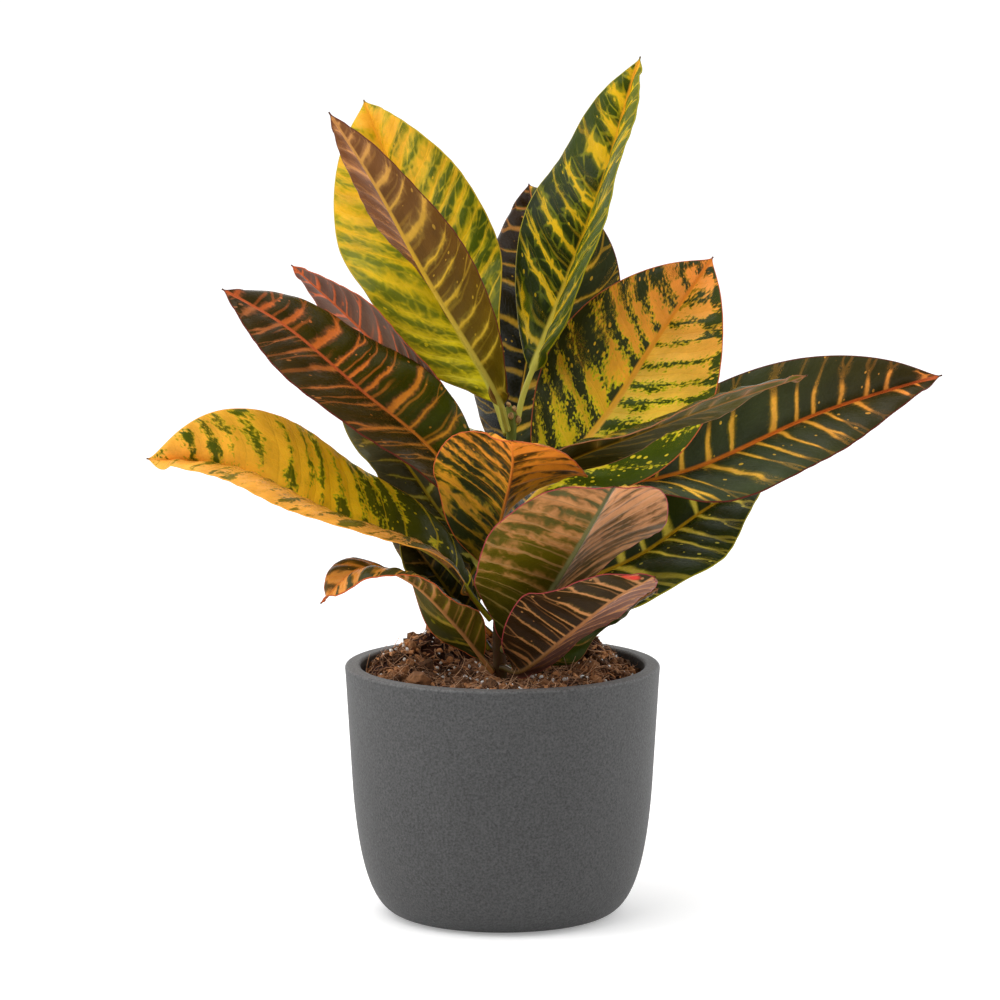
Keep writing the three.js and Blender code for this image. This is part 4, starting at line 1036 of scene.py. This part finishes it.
class CROTON_OT_soil(bpy.types.Operator):
    """Builds the potting mix: its uneven top, crumbs, bark chips, coir fibres and perlite grains"""
    bl_idname = "croton.soil"
    bl_label = "Potting mix"

    def execute(self, context):
        settings = context.scene.croton_soil
        edge = float(wall_radius(SOIL_LEVEL - WALL_DROP)) - WALL - 0.05
        radii = np.linspace(edge, 1.2, 62)
        angle = 2 * np.pi * np.arange(180) / 180
        x, y = radii[:, None] * np.cos(angle), radii[:, None] * np.sin(angle)
        flat = np.stack([x, y, 0 * x], axis=-1)
        rough = (0.9 * ripples(flat, 7, 11, 12) + 0.7 * ripples(flat, 3.2, 12, 14)
                 + 0.35 * ripples(flat, 1.7, 13, 16))
        top = np.stack([x, y, soil_top(x, y) + rough], axis=-1)
        skirt = np.stack([x[0], y[0], 0 * x[0] + SOIL_LEVEL - SKIRT_DEPTH], axis=-1)[None]
        points, faces = ring_skin(np.concatenate([skirt * (0.985, 0.985, 1) - (0, 0, 1), skirt, top]))
        ground = potting_mix("Peat, damp", "0E0502", "42200F", 0.95, 420.0, 0.0012)
        tone = 0.5 + 0.5 * ripples(points, 5, 14)
        piece("soil_top", points, faces, ground, "soil", {"tone": tone})

        count = settings.crumbs
        places, random = on_soil(count, 21, 61.5)
        sizes = random.lognormal(0.25, 0.4, count)[:, None] * random.uniform(0.55, 1.1, (count, 3))
        places[:, 2] += 0.25 + 0.5 * sizes[:, 2]
        crumb = potting_mix("Peat and bark crumbs", "120502", "CC9060", 0.9, 700.0, 0.0006)
        tones = random.uniform(0, 1, count) ** 3
        strew("soil_crumbs", crumb, lump(5, 7, 0.35, 22), places, sizes, 23, tones)

        places, random = on_soil(CHIPS, 31, 60.0)
        ranges = ((2.0, 4.6), (0.8, 1.8), (0.35, 0.7))
        sizes = np.stack([random.uniform(low, high, CHIPS) for low, high in ranges], axis=-1)
        places[:, 2] += 0.9
        bark = potting_mix("Bark chips, composted", "140602", "D89A68", 0.85, 900.0, 0.0005)
        tones = random.uniform(0, 1, CHIPS) ** 2
        strew("bark_chips", bark, lump(5, 6, 0.3, 32), places, sizes, 33, tones, lie=0.28)

        # Each fibre turns steadily along its length, lies 1 mm over the soil and lifts towards one end
        count = settings.fibres
        places, random = on_soil(count, 41, 60.5)
        length = random.uniform(5, 15, count)
        yaw = random.uniform(0, 2 * np.pi, count)
        curl = random.normal(0, 0.35, count)
        rise = np.abs(random.normal(0.06, 0.16, count))
        t = np.linspace(-0.5, 0.5, FIBRE_STEPS)[None]
        heading = yaw[:, None] + curl[:, None] * 4 * t
        runs = [np.cumsum(way(heading), axis=1) * (length / FIBRE_STEPS)[:, None] for way in (np.cos, np.sin)]
        x, y = (places[:, i:i + 1] + run - run.mean(1, keepdims=True) for i, run in enumerate(runs))
        inside = np.minimum(1, 61.8 / np.hypot(x, y))
        x, y = x * inside, y * inside
        z = soil_top(x, y) + 1.0 + (t + 0.5) ** 2 * (length * rise)[:, None] * 2 + 0.5 * np.cos(6 * t)
        points, faces = strands(np.stack([x, y, z], axis=-1), random.uniform(0.10, 0.22, count))
        tone = np.repeat(random.uniform(0, 1, count), FIBRE_STEPS * 3 + 2)
        coir = potting_mix("Coir fibre, dry", "4A2414", "F0BC92", 0.7, 300.0, 0.0001)
        piece("coir_fibres", points, faces, coir, None, {"tone": tone})

        count = settings.perlite
        places, random = on_soil(count, 51, 60.0)
        sizes = random.uniform(0.3, 1.0, (count, 1)) * random.uniform(0.8, 1.2, (count, 3))
        places[:, 2] += 1.9
        white = potting_mix("Perlite, expanded", "DCD6CC", "FFFFFF", 0.95, 1500.0, 0.0003)
        tones = random.uniform(0.3, 1, count)
        strew("perlite_grains", white, lump(6, 8, 0.25, 52), places, sizes, 53, tones, smooth=True)
        return {"FINISHED"}


class CROTON_OT_stem(bpy.types.Operator):
    """Builds the stem: rings along its axis, with swollen leaf scars, a pointed tip and small buds round
    it"""
    bl_idname = "croton.stem"
    bl_label = "Stem"

    def execute(self, context):
        bottom, top = STEM_AXIS[0][2], STEM_AXIS[-1][2]
        heights = np.concatenate([np.linspace(bottom, top - BUD_LENGTH, 130),
                                  top - BUD_LENGTH * (1 - np.linspace(0.04, 0.995, 22))])
        centre, radius = stem_at(heights)
        under_tip = top - heights
        stations = BUD_LENGTH * np.array([0, 0.25, 0.65, 1])
        bud = STEM_TOP_RADIUS * np.interp(under_tip, stations, BUD_FORM)
        radius = np.where(under_tip < BUD_LENGTH, bud, radius)
        scars = sum(np.exp(-((heights - row[0]) / 1.3) ** 2) for row in LEAVES.values())
        angle = 2 * np.pi * np.arange(28) / 28
        ring = np.stack([np.cos(angle), np.sin(angle), 0 * angle], axis=-1)
        base = centre[:, None] + ring * radius[:, None, None]
        bark = 0.12 * ripples(base, 2.4, 61, 10) + 0.1 * np.minimum(scars, 1.5)[:, None]
        skin = base + ring * (bark * np.minimum(1, under_tip / BUD_LENGTH)[:, None])[..., None]
        points, faces = ring_skin(skin)
        piece("stem_wood", points + (0, 0, SOIL_LEVEL), faces, stem_bark(), "stem")

        # Buds sit round the tip by the golden angle, the lowest ones furthest out
        share = np.linspace(0, 1, BUD_COUNT)
        turn = 2.4 * np.arange(BUD_COUNT)
        away = BUD_REACH * (1 - 0.5 * share)
        lift = (2.0 * share - 1.0) * BUD_SPREAD
        tip = stem_at(top - 0.5 * BUD_LENGTH)[0][0] + (0, 0, SOIL_LEVEL)
        places = tip + np.stack([away * np.cos(turn), away * np.sin(turn), lift], axis=-1)
        sizes = np.linspace(1.5, 1.0, BUD_COUNT)[:, None] * (1.0, 0.9, 1.2)
        points, faces = scatter(lump(10, 14, 0.12, 63), places, sizes, 64, 0.3)
        piece("stem_buds", points, faces, bud_scales())
        return {"FINISHED"}


class CROTON_OT_leaves(bpy.types.Operator):
    """Builds the 24 leaves from their table of forms and their table of colours"""
    bl_idname = "croton.leaves"
    bl_label = "Leaves"

    def execute(self, context):
        settings = context.scene.croton_leaf
        skin = leaf_skin()
        for index, name in enumerate(LEAVES):
            points, faces, values = leaf_surface(name, index, settings.thickness / MM, settings.quilting / MM)
            piece(name.replace("leaf_", "blade_"), points, faces, skin, name, values)
        return {"FINISHED"}


class CROTON_OT_stage(bpy.types.Operator):
    """Sets up the camera, the pale floor, the light from all round and the softboxes"""
    bl_idname = "croton.stage"
    bl_label = "Stage"

    def execute(self, context):
        settings = context.scene.croton_stage
        scene = context.scene
        lens = bpy.data.cameras.new("Camera")
        lens.lens = CAMERA_LENS
        lens.sensor_width = 36.0
        lens.clip_end = 100.0
        camera = bpy.data.objects.new("Camera", lens)
        camera.location = CAMERA_PLACE
        camera.rotation_euler = (math.radians(90 - CAMERA_TILT), 0.0, 0.0)
        scene.collection.objects.link(camera)
        scene.camera = camera

        paper, shader, _ = new_material("Backdrop paper, matt", 0.0, Roughness=1.0)
        fill(shader, {"Base Color": (*settings.floor, 1.0), "Emission Color": (1.0, 1.0, 1.0, 1.0),
                      "Emission Strength": 0.27})
        mesh = bpy.data.meshes.new("floor")
        corners = [(FLOOR_HALF * x, FLOOR_HALF * y, 0) for x, y in ((-1, -1), (1, -1), (1, 1), (-1, 1))]
        mesh.from_pydata(corners, [], [(0, 1, 2, 3)])
        mesh.materials.append(paper)
        floor = bpy.data.objects.new("floor", mesh)
        scene.collection.objects.link(floor)

        world = bpy.data.worlds.new("Bright room")
        world.use_nodes = True
        # White walls behind and at the sides; the room is darker on the side that the viewer stands on
        tree = world.node_tree
        way = add(tree, "split", add(tree, "place").outputs["Generated"])
        bright = add(tree, "smooth range", way.outputs[1], -0.9, 0.5, 0.36, 1.3)
        strength = add(tree, "MULTIPLY", bright, settings.sky)
        fill(tree.nodes["Background"], {"Color": (1.0, 1.0, 1.0, 1.0), "Strength": strength})
        scene.world = world
        scene.view_settings.view_transform = "Standard"

        for name, place, width, share in SOFTBOXES:
            light = bpy.data.lights.new(name, "AREA")
            light.shape = "SQUARE"
            light.size = width
            light.energy = settings.lamp * share
            lamp = bpy.data.objects.new(name, light)
            lamp.location = place
            aim = unit(np.array(AIM) - place)
            lamp.rotation_euler = (math.acos(-aim[2]), 0.0, math.atan2(-aim[0], aim[1]))
            scene.collection.objects.link(lamp)
        return {"FINISHED"}


class CROTON_PT_panel(bpy.types.Panel):
    """Lists the settings and the steps that build the plant"""
    bl_idname = "CROTON_PT_panel"
    bl_label = "Potted Croton"
    bl_space_type = "VIEW_3D"
    bl_region_type = "UI"
    bl_category = "Croton"

    def draw(self, context):
        for key, fields, step in (
            ("croton_stage", ("sky", "lamp", "floor"), "croton.stage"),
            ("croton_pot", ("colour", "sides"), "croton.pot"),
            ("croton_soil", ("crumbs", "fibres", "perlite"), "croton.soil"),
            ("", (), "croton.stem"),
            ("croton_leaf", ("thickness", "quilting"), "croton.leaves"),
        ):
            box = self.layout.box()
            for field in fields:
                box.prop(getattr(context.scene, key), field)
            box.operator(step)


GROUPS = {
    "croton_pot": CrotonPotSettings,
    "croton_soil": CrotonSoilSettings,
    "croton_leaf": CrotonLeafSettings,
    "croton_stage": CrotonStageSettings,
}
OTHER_CLASSES = (
    CROTON_OT_stage, CROTON_OT_pot, CROTON_OT_soil, CROTON_OT_stem, CROTON_OT_leaves, CROTON_PT_panel)


def register():
    """Makes the settings, the operators and the panel known to Blender."""
    for key, group in GROUPS.items():
        bpy.utils.register_class(group)
        setattr(bpy.types.Scene, key, bpy.props.PointerProperty(type=group))
    for each in OTHER_CLASSES:
        bpy.utils.register_class(each)


def unregister():
    """Takes them away again."""
    for each in reversed(OTHER_CLASSES):
        bpy.utils.unregister_class(each)
    for key, group in reversed(GROUPS.items()):
        delattr(bpy.types.Scene, key)
        bpy.utils.unregister_class(group)


def main():
    """Builds everything in order."""
    register()
    for step in (bpy.ops.croton.stage, bpy.ops.croton.pot, bpy.ops.croton.soil, bpy.ops.croton.stem,
                 bpy.ops.croton.leaves):
        step()


if __name__ == "__main__":
    main()
